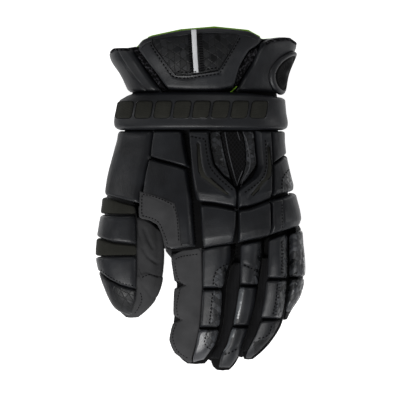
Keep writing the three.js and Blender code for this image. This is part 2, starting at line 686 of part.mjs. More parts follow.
    form: ringForm, layer: thinOverlay, across: 1, down: 6, look: 'gusset',
    left: [[262.3, 258], [259, 281], [255.8, 304], [250, 326], [244.5, 344], [242.2, 352]],
    right: [[266.8, 258], [266, 280], [261, 313], [257, 328], [250.5, 343], [247, 351]],
  },
};

// Surface colours and finish, by look
const looks = {
  leather: { color: 0x2f3035, roughness: 0.45 },
  palm: { color: 0x3a3a3a, roughness: 0.8 },
  strap: { color: 0x2e2e2a, roughness: 0.85 },
  print: { color: 0x4a4c50, roughness: 0.35 },
  knit: { color: 0x1c1d1f, roughness: 0.95 },
  mesh: { color: 0x151617, roughness: 0.8 },
  gusset: { color: 0x191a1c, roughness: 0.9 },
  lace: { color: 0xe8e8e6, roughness: 0.8 },
  badge: { color: 0x3c3d40, roughness: 0.5 },
  lining: { color: 0x7ca32d, roughness: 0.9 },
  shell: { color: 0x202124, roughness: 0.9 },
};

// Mesh named for its piece, its geometry round its own middle
function pieceMesh(name, { points, faces }, look) {
  const geometry = new THREE.BufferGeometry();
  geometry.setAttribute('position', new THREE.Float32BufferAttribute(points.flat(), 3));
  geometry.setIndex(faces.flat());
  geometry.computeBoundingBox();
  const middle = geometry.boundingBox.getCenter(new THREE.Vector3());
  geometry.translate(-middle.x, -middle.y, -middle.z);
  geometry.computeVertexNormals();
  const mesh = new THREE.Mesh(geometry, new THREE.MeshStandardMaterial({ ...looks[look], metalness: 0 }));
  mesh.name = name;
  mesh.position.copy(middle);
  return mesh;
}

// Hollow tube of the cuff, its rim cut to the outline of the panels
function cuffLining() {
  const tube = carrier(cuffForm, spacedRows(cuffRow, wristRow - joint / rowStep, cuffSteps),
    spacedRows(cuffRow - cavityRun, wristRow + cavityRun, cuffSteps), cuffSides);
  const beyondRim = [[80, 10], ...cuffRim, [320, 52], [320, 10]];
  return fromSolid(tube.subtract(prism(beyondRim, 0, 0)));
}

// Plan regions beyond the knuckles and of the thumb
const fingerRegion = [...knuckleLine, [320, 400], [80, 400]];
const thumbRegion = [...thumbLine, [165.5, 400], [80, 400]];

// Hollow hand, open at the wrist, at the knuckles and where the thumb begins
function handShell() {
  const tube = carrier(handForm, spacedRows(wristRow, knuckleRow, handSteps),
    spacedRows(wristRow - cavityRun, knuckleRow + cavityRun, handSteps), handSides);
  return fromSolid(tube.subtract(prism(fingerRegion, 0, 0)).subtract(prism(thumbRegion, 0, 0)));
}

// Hollow thumb or finger with a closed tip, cut to its region with a clearance to the hand
function stall(form, region, steps, sides) {
  const tube = carrier(form, spacedRows(form.first, form.last, steps),
    spacedRows(form.first - cavityRun, form.last - tipRun, steps), sides);
  return fromSolid(tube.intersect(prism(region, -joint, -joint)));
}

// Round badge on the outer wing: a disc with a raised rim, seen at its true slant
const badgePlace = { angle: 0.3, halfAngle: 0.36, row: 71, halfRows: 20 };
const badgeProfile = table(['radius', 'height'], [
  [0, 0.55],
  [0.35, 0.55],
  [0.7, 0.55],
  [0.78, 1],
  [0.9, 1],
  [1, 0.5],
]);
function badge(sides) {
  const points = [];
  const faces = [];
  const place = (radius, turn, depth) => {
    const angle = badgePlace.angle + badgePlace.halfAngle * radius * Math.cos(turn);
    const row = badgePlace.row + badgePlace.halfRows * radius * Math.sin(turn);
    return formPoint(cuffForm, angle, row, depth);
  };
  const rings = [...badgeProfile.slice(1).map(({ radius, height }) => [radius, -seat - badgeRelief * height]),
    ...badgeProfile.slice(1).reverse().map(({ radius }) => [radius, -seat])];
  for (const [radius, depth] of rings) {
    for (let i = 0; i < sides; i += 1) points.push(place(radius, 2 * Math.PI * i / sides, depth));
  }
  for (let k = 0; k + 1 < rings.length; k += 1) {
    for (let i = 0; i < sides; i += 1) {
      const a = k * sides + i;
      const b = k * sides + (i + 1) % sides;
      faces.push([a, b, b + sides], [a, b + sides, a + sides]);
    }
  }
  const lastRing = (rings.length - 1) * sides;
  points.push(place(0, 0, -seat - badgeRelief * badgeProfile[0].height), place(0, 0, -seat));
  for (let i = 0; i < sides; i += 1) {
    faces.push([(i + 1) % sides, i, points.length - 2]);
    faces.push([lastRing + i, lastRing + (i + 1) % sides, points.length - 1]);
  }
  return closedSolid(points, faces);
}

// The assembly
const group = new THREE.Group();
group.add(
  pieceMesh('hand_shell', handShell(), 'shell'),
  pieceMesh('cuff_lining', cuffLining(), 'lining'),
  pieceMesh('thumb_stall', stall(thumbForm, thumbRegion, thumbSteps, thumbSides), 'palm'),
  pieceMesh('index_stall', stall(indexForm, fingerRegion, fingerSteps, fingerSides), 'shell'),
  pieceMesh('middle_stall', stall(middleForm, fingerRegion, fingerSteps, fingerSides), 'shell'),
  pieceMesh('ring_stall', stall(ringForm, fingerRegion, fingerSteps, fingerSides), 'shell'),
  pieceMesh('little_stall', stall(littleForm, fingerRegion, littleSteps, fingerSides), 'shell'),
  pieceMesh('cuff_badge', badge(badgeSides), 'badge'),
);
for (const [name, pad] of Object.entries(pads)) {
  group.add(pieceMesh(name, padSolid(pad), pad.look));
}

// The origin is under the middle of the glove, on the surface that it lies on
const bounds = new THREE.Box3().setFromObject(group);
const centre = bounds.getCenter(new THREE.Vector3());
group.position.set(-centre.x, -centre.y, -bounds.min.z);

export default group;
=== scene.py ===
# Lacrosse glove for the left hand: the finish of every piece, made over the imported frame.
import bpy
import math
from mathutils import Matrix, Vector
from mathutils.bvhtree import BVHTree


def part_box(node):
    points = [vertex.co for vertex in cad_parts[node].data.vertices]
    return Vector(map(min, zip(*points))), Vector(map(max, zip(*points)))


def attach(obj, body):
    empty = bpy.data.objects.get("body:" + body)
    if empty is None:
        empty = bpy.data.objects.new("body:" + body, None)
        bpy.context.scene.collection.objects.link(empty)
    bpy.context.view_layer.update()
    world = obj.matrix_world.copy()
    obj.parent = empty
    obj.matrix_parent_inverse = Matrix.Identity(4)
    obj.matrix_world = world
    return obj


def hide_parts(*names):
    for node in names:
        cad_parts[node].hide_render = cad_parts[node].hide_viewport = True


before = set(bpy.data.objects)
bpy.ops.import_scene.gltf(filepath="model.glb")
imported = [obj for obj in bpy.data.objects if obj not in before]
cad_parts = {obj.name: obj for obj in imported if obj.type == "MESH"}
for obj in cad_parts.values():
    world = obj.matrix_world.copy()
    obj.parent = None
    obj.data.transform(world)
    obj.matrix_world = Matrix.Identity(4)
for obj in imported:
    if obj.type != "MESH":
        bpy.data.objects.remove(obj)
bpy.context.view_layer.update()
print("frame loaded")

# The plan drawing: columns run across the glove and rows along it, one step is about a millimetre
plan = {
    "gloveLength": 330.0,
    "gloveWidth": 203.0,
    "handHeight": 66.0,
    "rows": 342,
    "columns": 210,
    "middleRow": 200,
    "middleColumn": 200,
    "wristRow": 92,
    "shiftX": -0.5,  # the glove's box is centred on the origin
}
metre = 0.001
columnStep = plan["gloveWidth"] / plan["columns"]
rowStep = plan["gloveLength"] / plan["rows"]
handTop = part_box("hand_shell")[1]
shiftY = handTop.y / metre - (plan["middleRow"] - plan["wristRow"]) * rowStep

# Clearances and walls in millimetres; the power squares the undersides, the share bounds the padding
build = {"seat": 0.7, "wall": 2.0, "overlay": 2.0, "floorPower": 3.2, "paddingShare": 0.42, "touch": 0.7}


def planX(column):
    return (column - plan["middleColumn"]) * columnStep


def planY(row):
    return (plan["middleRow"] - row) * rowStep


def clamp(value, low, high):
    return max(low, min(high, value))


def mix(a, b, t):
    return a + (b - a) * t


def smooth(t):
    t = clamp(t, 0.0, 1.0)
    return t * t * (3 - 2 * t)


# Sections of the forms: row, left side, crest, right side, top and bottom as shares of the height
sections = {
    "cuff": [
        (27, 107, 200, 297.5, 1.1, -0.05),
        (47, 108.5, 200, 296.2, 1.04, -0.05),
        (60, 111, 200, 290.5, 0.98, -0.05),
        (75, 120.5, 202, 285, 0.9, -0.05),
        (92, 128.5, 205, 281.5, 0.83, -0.05),
    ],
    "hand": [
        (92, 125, 205, 284.5, 0.87, -0.05),
        (102, 118.5, 205, 285.5, 0.93, -0.05),
        (113, 115, 206, 286.5, 0.95, -0.05),
        (124, 114, 207, 288, 0.93, -0.05),
        (134, 117.5, 208, 285, 0.9, -0.04),
        (150, 114, 212, 286, 0.93, -0.03),
        (175, 107.5, 218, 291, 0.97, 0),
        (196, 104.5, 225, 296.5, 1, 0.03),
        (220, 103, 230, 301.5, 1, 0.07),
        (252, 108, 232, 300, 0.9, 0.1),
    ],
    "thumb": [
        (192, 103, 122, 160, 0.72, 0),
        (205, 101.5, 122, 160, 0.7, -0.02),
        (216, 100, 123, 160.5, 0.68, -0.03),
        (228, 98, 124, 161.5, 0.65, -0.05),
        (240, 96.2, 126, 163, 0.62, -0.05),
        (256, 95.3, 127, 163.5, 0.59, -0.05),
        (272, 98.2, 128, 162.5, 0.54, -0.05),
        (288, 103.7, 129, 159.5, 0.47, -0.05),
        (302, 109.8, 130, 153, 0.37, -0.04),
        (312, 117, 130, 144, 0.25, -0.02),
        (318, 124.5, 130, 136.5, 0.13, 0.03),
    ],
    "index": [
        (236, 169, 213, 234.6, 0.9, 0.12),
        (252, 170.5, 214, 233.8, 0.83, 0.12),
        (264, 171.5, 214, 231.3, 0.78, 0.1),
        (285, 174.5, 212, 227, 0.68, 0.07),
        (305, 173, 210, 225.3, 0.58, 0.02),
        (325, 170.5, 208, 222.9, 0.47, -0.03),
        (342, 169.8, 205, 218.3, 0.37, -0.05),
        (353, 174, 201, 212.3, 0.28, -0.03),
        (360, 180, 197, 208, 0.19, 0),
        (364.5, 186, 196, 204, 0.12, 0.04),
    ],
    "middle": [
        (232, 235, 249, 263, 0.92, 0.12),
        (250, 233.5, 249, 262.7, 0.83, 0.12),
        (264, 231, 247, 261.5, 0.78, 0.1),
        (285, 226.6, 244, 258.3, 0.68, 0.07),
        (305, 224.9, 241, 255.2, 0.58, 0.02),
        (325, 222.6, 236, 249.8, 0.46, -0.03),
        (345, 217.3, 230, 242.5, 0.35, -0.05),
        (358, 210, 226, 238.2, 0.26, -0.03),
        (366.5, 211.5, 224, 233, 0.17, 0),
        (371, 216, 223, 228.5, 0.11, 0.04),
    ],
    "ring": [
        (224, 263, 276, 288.4, 0.88, 0.12),
        (245, 262.7, 276, 288.4, 0.81, 0.12),
        (264, 261.4, 276, 288.4, 0.76, 0.1),
        (285, 258, 274, 287.8, 0.66, 0.07),
        (305, 255, 271, 285.5, 0.55, 0.02),
        (325, 249.5, 265, 281, 0.43, -0.03),
        (342, 244.5, 257, 271, 0.32, -0.04),
        (353, 241, 249, 261, 0.22, 0),
        (360, 243.5, 247.5, 252.5, 0.13, 0.04),
    ],
    "little": [
        (222, 288.2, 295, 302, 0.74, 0.12),
        (245, 288, 296, 304, 0.68, 0.1),
        (266, 287.9, 297, 305.6, 0.6, 0.06),
        (280, 287.8, 296.5, 305, 0.54, 0.02),
        (293, 286.8, 294, 302.3, 0.46, -0.03),
        (305, 284.8, 290, 297, 0.36, -0.04),
        (314, 283.2, 286.8, 291.2, 0.25, 0),
        (320, 281.8, 285, 288, 0.15, 0.05),
    ],
}

# Padding in millimetres, squareness of the two upper quarters, share of padding kept at the sides
formShapes = {
    "cuff": (8.0, 2.0, 2.0, 0.7, 0.7),
    "hand": (10.0, 1.75, 2.2, 0.7, 0.7),
    "thumb": (7.0, 2.4, 2.2, 0.8, 0.1),
    "index": (6.5, 1.9, 2.4, 0.3, 0.05),
    "middle": (6.5, 2.4, 2.4, 0.1, 0.05),
    "ring": (6.5, 2.4, 2.4, 0.1, 0.05),
    "little": (4.5, 2.4, 2.2, 0.1, 0.6),
}

# The side of each finger where cloth alone meets its neighbour
bareSides = {"thumb": "right", "index": "right", "middle": "right", "ring": "right", "little": "left"}


# Shares of start, end and the two slopes at a place between two points of a smooth curve
def curveShares(t):
    return 2 * t ** 3 - 3 * t ** 2 + 1, 3 * t ** 2 - 2 * t ** 3, t ** 3 - 2 * t ** 2 + t, t ** 3 - t ** 2


# Smooth curve through the numbers of a table, level beyond its ends
def readCurve(lines, at, k):
    if at <= lines[0][0]:
        return lines[0][k]
    if at >= lines[-1][0]:
        return lines[-1][k]
    i = 0
    while at >= lines[i + 1][0]:
        i += 1

    def slope(j):
        a = lines[max(0, j - 1)]
        b = lines[min(len(lines) - 1, j + 1)]
        return (b[k] - a[k]) / (b[0] - a[0])

    span = lines[i + 1][0] - lines[i][0]
    start, end, leaving, arriving = curveShares((at - lines[i][0]) / span)
    rise = start * lines[i][k] + end * lines[i + 1][k]
    return rise + leaving * span * slope(i) + arriving * span * slope(i + 1)


# A finger, the hand or the cuff as a tube, met by angle, row and depth
class Form:
    def __init__(self, name):
        self.name = name
        self.lines = sections[name]
        self.padding, self.leftPower, self.rightPower, self.leftCover, self.rightCover = formShapes[name]
        self.first = self.lines[0][0]
        self.last = self.lines[-1][0]
        self.stepsPerRow = 4
        count = int((self.last - self.first) * self.stepsPerRow) + 2
        self.steps = [[readCurve(self.lines, self.first + i / self.stepsPerRow, k) for k in range(1, 6)]
                      for i in range(count)]

    def section(self, row):
        place = clamp((row - self.first) * self.stepsPerRow, 0, len(self.steps) - 1.001)
        i = int(place)
        t = place - i
        return [a + (b - a) * t for a, b in zip(self.steps[i], self.steps[i + 1])]

    # Share of the padding that lies over a point of the section
    def cover(self, angle):
        side = self.rightCover if math.cos(angle) > 0 else self.leftCover
        rise = math.sin(angle)
        if rise >= 0:
            return side + (1 - side) * rise ** 0.8
        return side * (1 - smooth(-rise / 0.75))

    def paddingAt(self, angle, row):
        left, crest, right, top, bottom = self.section(row)
        half = (top - bottom) * plan["handHeight"] / 2
        return min(self.padding, half * build["paddingShare"]) * self.cover(angle)

    def powerAt(self, angle):
        if math.sin(angle) < 0:
            return build["floorPower"]
        return self.rightPower if math.cos(angle) > 0 else self.leftPower

    # Point in millimetres: angle round the section, row, depth below the outer surface
    def point(self, angle, row, depth, floor=0.0):
        left, crest, right, top, bottom = self.section(row)
        c = math.cos(angle)
        s = math.sin(angle)
        power = self.powerAt(angle)
        reach = abs((right if c > 0 else left) - crest) * columnStep
        half = (top - bottom) * plan["handHeight"] / 2
        outward = max(reach - depth, 0.6) * abs(c) ** (2 / power)
        upward = max(half - depth, 0.6) * abs(s) ** (2 / power)
        x = planX(crest) + math.copysign(outward, c)
        z = bottom * plan["handHeight"] + half + math.copysign(upward, s)
        return Vector((x + plan["shiftX"], planY(row) + shiftY, max(z, floor)))

    def angleAt(self, column, row):
        left, crest, right, top, bottom = self.section(row)
        isRight = column > crest
        share = clamp((column - crest) / ((right if isRight else left) - crest), 0.0, 1.0)
        fromSide = math.acos(share ** ((self.rightPower if isRight else self.leftPower) / 2))
        return fromSide if isRight else math.pi - fromSide

    def columnAt(self, angle, row):
        left, crest, right, top, bottom = self.section(row)
        c = math.cos(angle)
        side = right if c > 0 else left
        return crest + (side - crest) * abs(c) ** (2 / self.powerAt(angle))

    def radius(self, row):
        left, crest, right, top, bottom = self.section(row)
        return (right - left) * columnStep / 2

    def seatAt(self, angle):
        return build["seat"] * smooth((math.sin(angle) + 0.75) / 0.25)

    # Depth of the carrier's outer skin, none at a side where cloth alone meets the next finger
    def skinDepth(self, angle, row):
        depth = self.paddingAt(angle, row) + self.seatAt(angle)
        side = "right" if math.cos(angle) > 0 else "left"
        if bareSides.get(self.name) != side:
            return depth
        share = smooth((abs(math.sin(angle)) - 0.05) / 0.3)
        return depth * share - build["touch"] * (1 - share)


forms = {name: Form(name) for name in sections}


# A line through plan points, rounded a little at its inner points
def smoothLine(points, perSpan=7, tension=0.5):
    if len(points) < 3:
        (x0, y0), (x1, y1) = points
        return [(mix(x0, x1, i / perSpan), mix(y0, y1, i / perSpan)) for i in range(perSpan + 1)]
    spans = [math.dist(a, b) or 1e-6 for a, b in zip(points, points[1:])]
    places = [0.0]
    for span in spans:
        places.append(places[-1] + span)
    result = [tuple(points[0])]
    for i, span in enumerate(spans):
        for step in range(1, perSpan + 1):
            start, end, leaving, arriving = curveShares(step / perSpan)
            pair = []
            for axis in (0, 1):
                def slope(j):
                    a = max(0, j - 1)
                    b = min(len(points) - 1, j + 1)
                    return (points[b][axis] - points[a][axis]) / (places[b] - places[a])
                value = start * points[i][axis] + end * points[i + 1][axis]
                bend = leaving * slope(i) + arriving * slope(i + 1)
                straight = (points[i + 1][axis] - points[i][axis]) / span
                pair.append(value + span * mix((leaving + arriving) * straight, bend, tension))
            result.append(tuple(pair))
    return result


# A line read by the share of its length
class Line:
    def __init__(self, points):
        self.points = points
        self.places = [0.0]
        for a, b in zip(points, points[1:]):
            self.places.append(self.places[-1] + math.dist(a, b))
        self.length = self.places[-1]

    def at(self, share):
        rest = clamp(share, 0.0, 1.0) * self.length
        low = 0
        high = len(self.places) - 1
        while high - low > 1:
            middle = (low + high) // 2
            if self.places[middle] <= rest:
                low = middle
            else:
                high = middle
        span = self.places[high] - self.places[low]
        t = (rest - self.places[low]) / span if span > 0 else 0.0
        a = self.points[low]
        b = self.points[high]
        return (mix(a[0], b[0], t), mix(a[1], b[1], t))


# Patch between four plan edges, rolled off its form: left and right run down, top and bottom join them
class Patch:
    def __init__(self, form, edges):
        self.form = form
        left = edges["left"]
        right = edges["right"]
        top = [left[0], *edges.get("top", []), right[0]]
        bottom = [left[-1], *edges.get("bottom", []), right[-1]]
        self.scale = form.radius(left[0][1])
        self.left, self.right, self.top, self.bottom = [
            Line([self.unroll(*point) for point in smoothLine(line)]) for line in (left, right, top, bottom)]
        self.width = math.dist(self.at(0, 0.5), self.at(1, 0.5))
        self.height = math.dist(self.at(0.5, 0), self.at(0.5, 1))

    def unroll(self, column, row):
        return (-self.form.angleAt(column, row) * self.scale, row * rowStep)

    def roll(self, place):
        return (-place[0] / self.scale, place[1] / rowStep)

    # Shares beyond 0 and 1 go on past the edges
    def at(self, across, down):
        u = clamp(across, 0.0, 1.0)
        v = clamp(down, 0.0, 1.0)
        l = self.left.at(v)
        r = self.right.at(v)
        t = self.top.at(u)
        b = self.bottom.at(u)
        place = []
        for axis in (0, 1):
            above = mix(self.top.points[0][axis], self.top.points[-1][axis], u)
            below = mix(self.bottom.points[0][axis], self.bottom.points[-1][axis], u)
            place.append(mix(l[axis], r[axis], u) + mix(t[axis], b[axis], v) - mix(above, below, v))
        if across != u:
            place[0] += (across - u) * self.width
        if down != v:
            place[1] += (down - v) * self.height
        return tuple(place)


# One socket of a node tree, so that shader maths reads as ordinary expressions
class Value:
    def __init__(self, finish, socket):
        self.finish = finish
        self.socket = socket

    def math(self, operation, *others, clampResult=False):
        sockets = {0: self}
        for i, other in enumerate(others):
            sockets[i + 1] = other
        return self.finish.node("ShaderNodeMath", {"operation": operation, "use_clamp": clampResult}, sockets)

    # A number less this value
    def __rsub__(self, other):
        return self.finish.node("ShaderNodeMath", {"operation": "SUBTRACT"}, {0: other, 1: self})

    # From 0 at low to 1 at high, held at both ends
    def ramp(self, low, high):
        return ((self - low) / (high - low)).math("ADD", 0.0, clampResult=True)


def operator(operation):
    return lambda value, *others: value.math(operation, *others)


for method, operation in {"__add__": "ADD", "__radd__": "ADD", "__sub__": "SUBTRACT", "__mul__": "MULTIPLY",
                          "__rmul__": "MULTIPLY", "__truediv__": "DIVIDE", "absolute": "ABSOLUTE",
                          "fraction": "FRACT", "sine": "SINE", "most": "MAXIMUM"}.items():
    setattr(Value, method, operator(operation))


# One material: its Principled shader, and a single method for every other node
class Finish:
    def __init__(self, name, slot):
        self.material = bpy.data.materials.new(name)
        self.material.use_nodes = True
        self.tree = self.material.node_tree
        self.shader = self.tree.nodes["Principled BSDF"]
        finishes[name] = {"material": self.material, "slot": slot}
        self.place = self.node("ShaderNodeTexCoord", {}, {}, "Object")
        self.x, self.y, self.z = [self.node("ShaderNodeSeparateXYZ", {}, {0: self.place}, axis)
                                  for axis in "XYZ"]

    def node(self, kind, settings, sockets, output=0):
        made = self.tree.nodes.new(kind)
        for key, value in settings.items():
            setattr(made, key, value)
        for key, value in sockets.items():
            if isinstance(value, Value):
                self.tree.links.new(value.socket, made.inputs[key])
            else:
                made.inputs[key].default_value = value
        return Value(self, made.outputs[output])

    def noise(self, scale, detail):
        return self.node("ShaderNodeTexNoise", {}, {"Vector": self.place, "Scale": scale, "Detail": detail})

    def pebbles(self, scale):
        sockets = {"Vector": self.place, "Scale": scale}
        return self.node("ShaderNodeTexVoronoi", {"feature": "SMOOTH_F1"}, sockets, "Distance")

    def blend(self, share, first, second):
        sockets = {"Factor": share, 6: first, 7: second}
        return self.node("ShaderNodeMix", {"data_type": "RGBA"}, sockets, 2)

    def vector(self, x, y, z):
        return self.node("ShaderNodeCombineXYZ", {}, {0: x, 1: y, 2: z})

    def set(self, **values):
        for key, value in values.items():
            socket = self.shader.inputs[key.replace("_", " ")]
            if isinstance(value, Value):
                self.tree.links.new(value.socket, socket)
            else:
                socket.default_value = value

    # Heights in metres, added up before they tilt the surface
    def bump(self, height):
        normal = self.node("ShaderNodeBump", {}, {"Height": height, "Strength": 1.0, "Distance": 1.0})
        self.tree.links.new(normal.socket, self.shader.inputs["Normal"])


# sRGB from 0 to 255 as the linear colour that the shaders take
def shade(red, green, blue):
    levels = []
    for level in (red, green, blue):
        share = level / 255
        levels.append(share / 12.92 if share <= 0.04045 else ((share + 0.055) / 1.055) ** 2.4)
    return (*levels, 1.0)


# Smooth coated leather: fine pebbled grain, slow mottling, duller where it is rubbed
def leatherFinish(name, slot, look):
    finish = Finish(name, slot)
    grain = finish.pebbles(1 / look["grainPitch"])
    pores = finish.noise(3.1 / look["grainPitch"], 3.0)
    mottle = finish.noise(38.0, 4.0)
    rub = finish.noise(95.0, 5.0)
    finish.set(Base_Color=finish.blend(mottle.ramp(0.35, 0.7), look["dark"], look["light"]))
    finish.set(Roughness=look["roughness"] + (rub - 0.5) * 0.22 + (mottle - 0.5) * 0.12)
    finish.set(Specular_IOR_Level=look["gloss"], Sheen_Weight=look.get("sheen", 0.0), Sheen_Roughness=0.5)
    finish.bump(grain * look["grainDepth"] + pores * (look["grainDepth"] * 0.5) + mottle * 0.00015)
    return finish


# Printed coated fabric: a generic pattern of triangles, each with its own tone, gloss and slight tilt
def facetFinish(name, slot, look):
    finish = Finish(name, slot)
    bend = (finish.noise(45.0, 1.0) - 0.5) * 0.0035
    side = finish.x.ramp(0.06, 0.068) - (finish.x * -1).ramp(0.05, 0.058)
    x = finish.x - finish.z * side + bend
    y = finish.y - finish.z * 0.5 + bend
    lines = [x * 1.0 + y * 0.12, x * 0.5 + y * 0.866, x * -0.5 + y * 0.866]
    steps = [(line + 3.0) / look["facetPitch"] for line in lines]
    insides = [step.fraction() for step in steps]
    whole = finish.vector(*[step - inside for step, inside in zip(steps, insides)])
    chance = finish.node("ShaderNodeTexWhiteNoise", {"noise_dimensions": "3D"}, {"Vector": whole}, "Color")
    tones = [finish.node("ShaderNodeSeparateColor", {}, {0: chance}, part)
             for part in ("Red", "Green", "Blue")]
    near = [(inside - 0.5).absolute() for inside in insides]
    line = near[0].most(near[1]).most(near[2]).ramp(0.5, 0.42)
    tilt = (insides[0] - 0.5) * (tones[0] - 0.5) + (insides[1] - 0.5) * (tones[1] - 0.5)
    weave = (finish.x * 5200.0).sine() * (finish.y * 5200.0).sine()
    finish.set(Base_Color=finish.blend(line * tones[2], look["dark"], look["light"]))
    finish.set(Roughness=look["roughness"] + tones[1] * look["roughnessSpread"] + (1 - line) * 0.08)
    finish.set(Specular_IOR_Level=look["gloss"])
    finish.bump(tilt * look["facetDepth"] + line * 0.0001 + weave * 0.00001)
    return finish


plainWeave = {"sheen": 0.0, "warp": 0.3, "weft": 0.3, "cross": 0.4, "contrast": 0.7}


# Cloth of ribs or crossed yarns, from the pitch of the yarns each way
def wovenFinish(name, slot, look):
    look = {**plainWeave, **look}
    finish = Finish(name, slot)
    turnX = finish.x * (2 * math.pi / look["pitchX"])
    turnY = (finish.y + finish.z * 0.7) * (2 * math.pi / look["pitchY"])
    along = turnX.sine() * 0.5 + 0.5
    down = turnY.sine() * 0.5 + 0.5
    yarn = along * look["warp"] + down * look["weft"] + along * down * look["cross"]
    fuzz = finish.noise(900.0, 3.0)
    mottle = finish.noise(70.0, 3.0)
    share = yarn.ramp(0.1, 1.0) * look["contrast"] + (mottle - 0.5) * 0.7 + (fuzz - 0.5) * 0.5
    finish.set(Base_Color=finish.blend(share, look["dark"], look["light"]))
    finish.set(Roughness=look["roughness"] + (fuzz - 0.5) * 0.15)
    finish.set(Specular_IOR_Level=look["gloss"], Sheen_Weight=look["sheen"], Sheen_Roughness=0.4)
    finish.bump(yarn * look["depth"] + fuzz * look["fuzz"])
    return finish


# Curly pile: lighter tips of the tufts are painted highlights over a black ground
def pileFinish(name, slot, look):
    finish = Finish(name, slot)
    tufts = finish.noise(1 / look["tuftPitch"], 3.0)
    fuzz = finish.noise(1400.0, 2.0)
    tipHighlights = tufts.ramp(0.5, 0.68) * (0.5 + fuzz)
    finish.set(Base_Color=finish.blend(tipHighlights, look["dark"], look["light"]))
    finish.set(Roughness=look["roughness"] + (fuzz - 0.5) * 0.1)
    finish.set(Specular_IOR_Level=look["gloss"])
    finish.bump(tufts * look["depth"] + fuzz * 0.0002)
    return finish


# Open knit of diamond holes; the holes are painted near black: the dark cloth beneath, with painted shade
def diamondFinish(name, slot, look):
    finish = Finish(name, slot)
    a = ((finish.x * 1.25 + finish.y) * (1 / look["pitch"])).fraction() - 0.5
    b = ((finish.x * 1.25 - finish.y) * (1 / look["pitch"])).fraction() - 0.5
    # 1 on the yarn, 0 in the holes, where the shade is painted
    shadedHoleMask = a.absolute().most(b.absolute()).ramp(0.34, 0.42)
    fuzz = finish.noise(1200.0, 2.0)
    finish.set(Base_Color=finish.blend(shadedHoleMask * (0.7 + fuzz * 0.6), look["dark"], look["light"]))
    finish.set(Roughness=look["roughness"] + (fuzz - 0.5) * 0.2)
    finish.set(Specular_IOR_Level=0.15)
    finish.bump(shadedHoleMask * look["depth"] + fuzz * 0.00006)
    return finish


finishes = {}
# What a user would change of the looks, lengths in metres
looks = {
    "leather_charcoal": {
        "dark": shade(18, 19, 22), "light": shade(28, 30, 34), "roughness": 0.42, "gloss": 0.34,
        "grainPitch": 0.0011, "grainDepth": 0.00009,
    },
    # Painted highlight: a lighter copy of the charcoal leather, on the tip pad of the index finger
    "leather_light": {
        "dark": shade(46, 47, 51), "light": shade(60, 62, 66), "roughness": 0.34, "gloss": 0.5,
        "grainPitch": 0.0011, "grainDepth": 0.00006,
    },
    # Painted highlight: a lighter glossy copy of the leather, on the left bevels of middle pads 2 and 3
    "facet_bright": {
        "dark": shade(60, 63, 66), "light": shade(94, 97, 100), "roughness": 0.26, "gloss": 0.55,
        "grainPitch": 0.003, "grainDepth": 0.0002,
    },
    "palm_leather": {
        "dark": shade(56, 56, 57), "light": shade(70, 70, 71), "roughness": 0.8, "gloss": 0.12,
        "sheen": 0.02, "grainPitch": 0.0008, "grainDepth": 0.00006,
    },
    "printed_leather": {
        "dark": shade(7, 8, 9), "light": shade(22, 23, 26), "roughness": 0.3, "gloss": 0.2,
        "roughnessSpread": 0.28, "facetPitch": 0.0058, "facetDepth": 0.0005,
    },
    "printed_bright": {
        "dark": shade(4, 5, 6), "light": shade(58, 60, 64), "roughness": 0.22, "gloss": 0.45,
        "roughnessSpread": 0.4, "facetPitch": 0.0044, "facetDepth": 0.0018,
    },
    "strap_olive": {
        "dark": shade(38, 38, 34), "light": shade(64, 64, 59), "roughness": 0.85, "gloss": 0.12,
        "sheen": 0.04, "pitchX": 0.00125, "pitchY": 0.0022, "warp": 0.55, "weft": 0.2, "cross": 0.25,
        "depth": 0.00006, "fuzz": 0.00005, "contrast": 0.25,
    },
    # light: painted highlight on the tips of the tufts of the black pile
    "knit_black": {
        "dark": shade(6, 6, 7), "light": shade(66, 65, 69), "roughness": 0.92, "gloss": 0.08,
        "tuftPitch": 0.0021, "depth": 0.0016,
    },
    "gusset_black": {
        "dark": shade(14, 14, 15), "light": shade(38, 38, 40), "roughness": 0.9, "gloss": 0.1,
        "sheen": 0.04, "pitchX": 0.0014, "pitchY": 0.0009, "warp": 0.55, "weft": 0.2, "cross": 0.25,
        "depth": 0.00015, "fuzz": 0.0001,
    },
    # dark: the holes of the mesh, painted shade over the dark cloth beneath
    "mesh_black": {
        "dark": shade(0, 0, 0), "light": shade(24, 24, 26), "roughness": 0.65, "pitch": 0.0046,
        "depth": 0.0007,
    },
    "lace_white": {
        "dark": shade(205, 207, 209), "light": shade(252, 252, 253), "roughness": 0.8, "gloss": 0.3,
        "sheen": 0.1, "pitchX": 0.0009, "pitchY": 0.0013, "depth": 0.0002, "fuzz": 0.00008,
    },
    "badge_black": {
        "dark": shade(3, 3, 4), "light": shade(9, 9, 10), "roughness": 0.7, "gloss": 0.08,
        "grainPitch": 0.0006, "grainDepth": 0.00002,
    },
    "lining_green": {
        "dark": shade(112, 160, 36), "light": shade(168, 220, 60), "roughness": 0.8, "gloss": 0.25,
        "sheen": 0.25, "pitchX": 0.0012, "pitchY": 0.0012, "depth": 0.00015, "fuzz": 0.0001,
    },
    "shell_black": {
        "dark": shade(10, 10, 11), "light": shade(28, 28, 29), "roughness": 0.85, "gloss": 0.1,
        "sheen": 0.03, "pitchX": 0.0012, "pitchY": 0.0012, "depth": 0.00006, "fuzz": 0.00008,
        "contrast": 0.3,
    },
    "thread_dark": {
        "dark": shade(5, 5, 6), "light": shade(13, 13, 14), "roughness": 0.85, "gloss": 0.1,
        "pitchX": 0.0005, "pitchY": 0.0005, "depth": 0.00005, "fuzz": 0.00002,
    },
    "piping_grey": {
        "dark": shade(62, 63, 66), "light": shade(92, 93, 96), "roughness": 0.55, "gloss": 0.4,
        "sheen": 0.1, "pitchX": 0.0007, "pitchY": 0.0007, "depth": 0.00006, "fuzz": 0.00003,
    },
}
leathers = ("leather_charcoal", "leather_light", "facet_bright", "palm_leather", "badge_black")
makers = {name: leatherFinish for name in leathers}
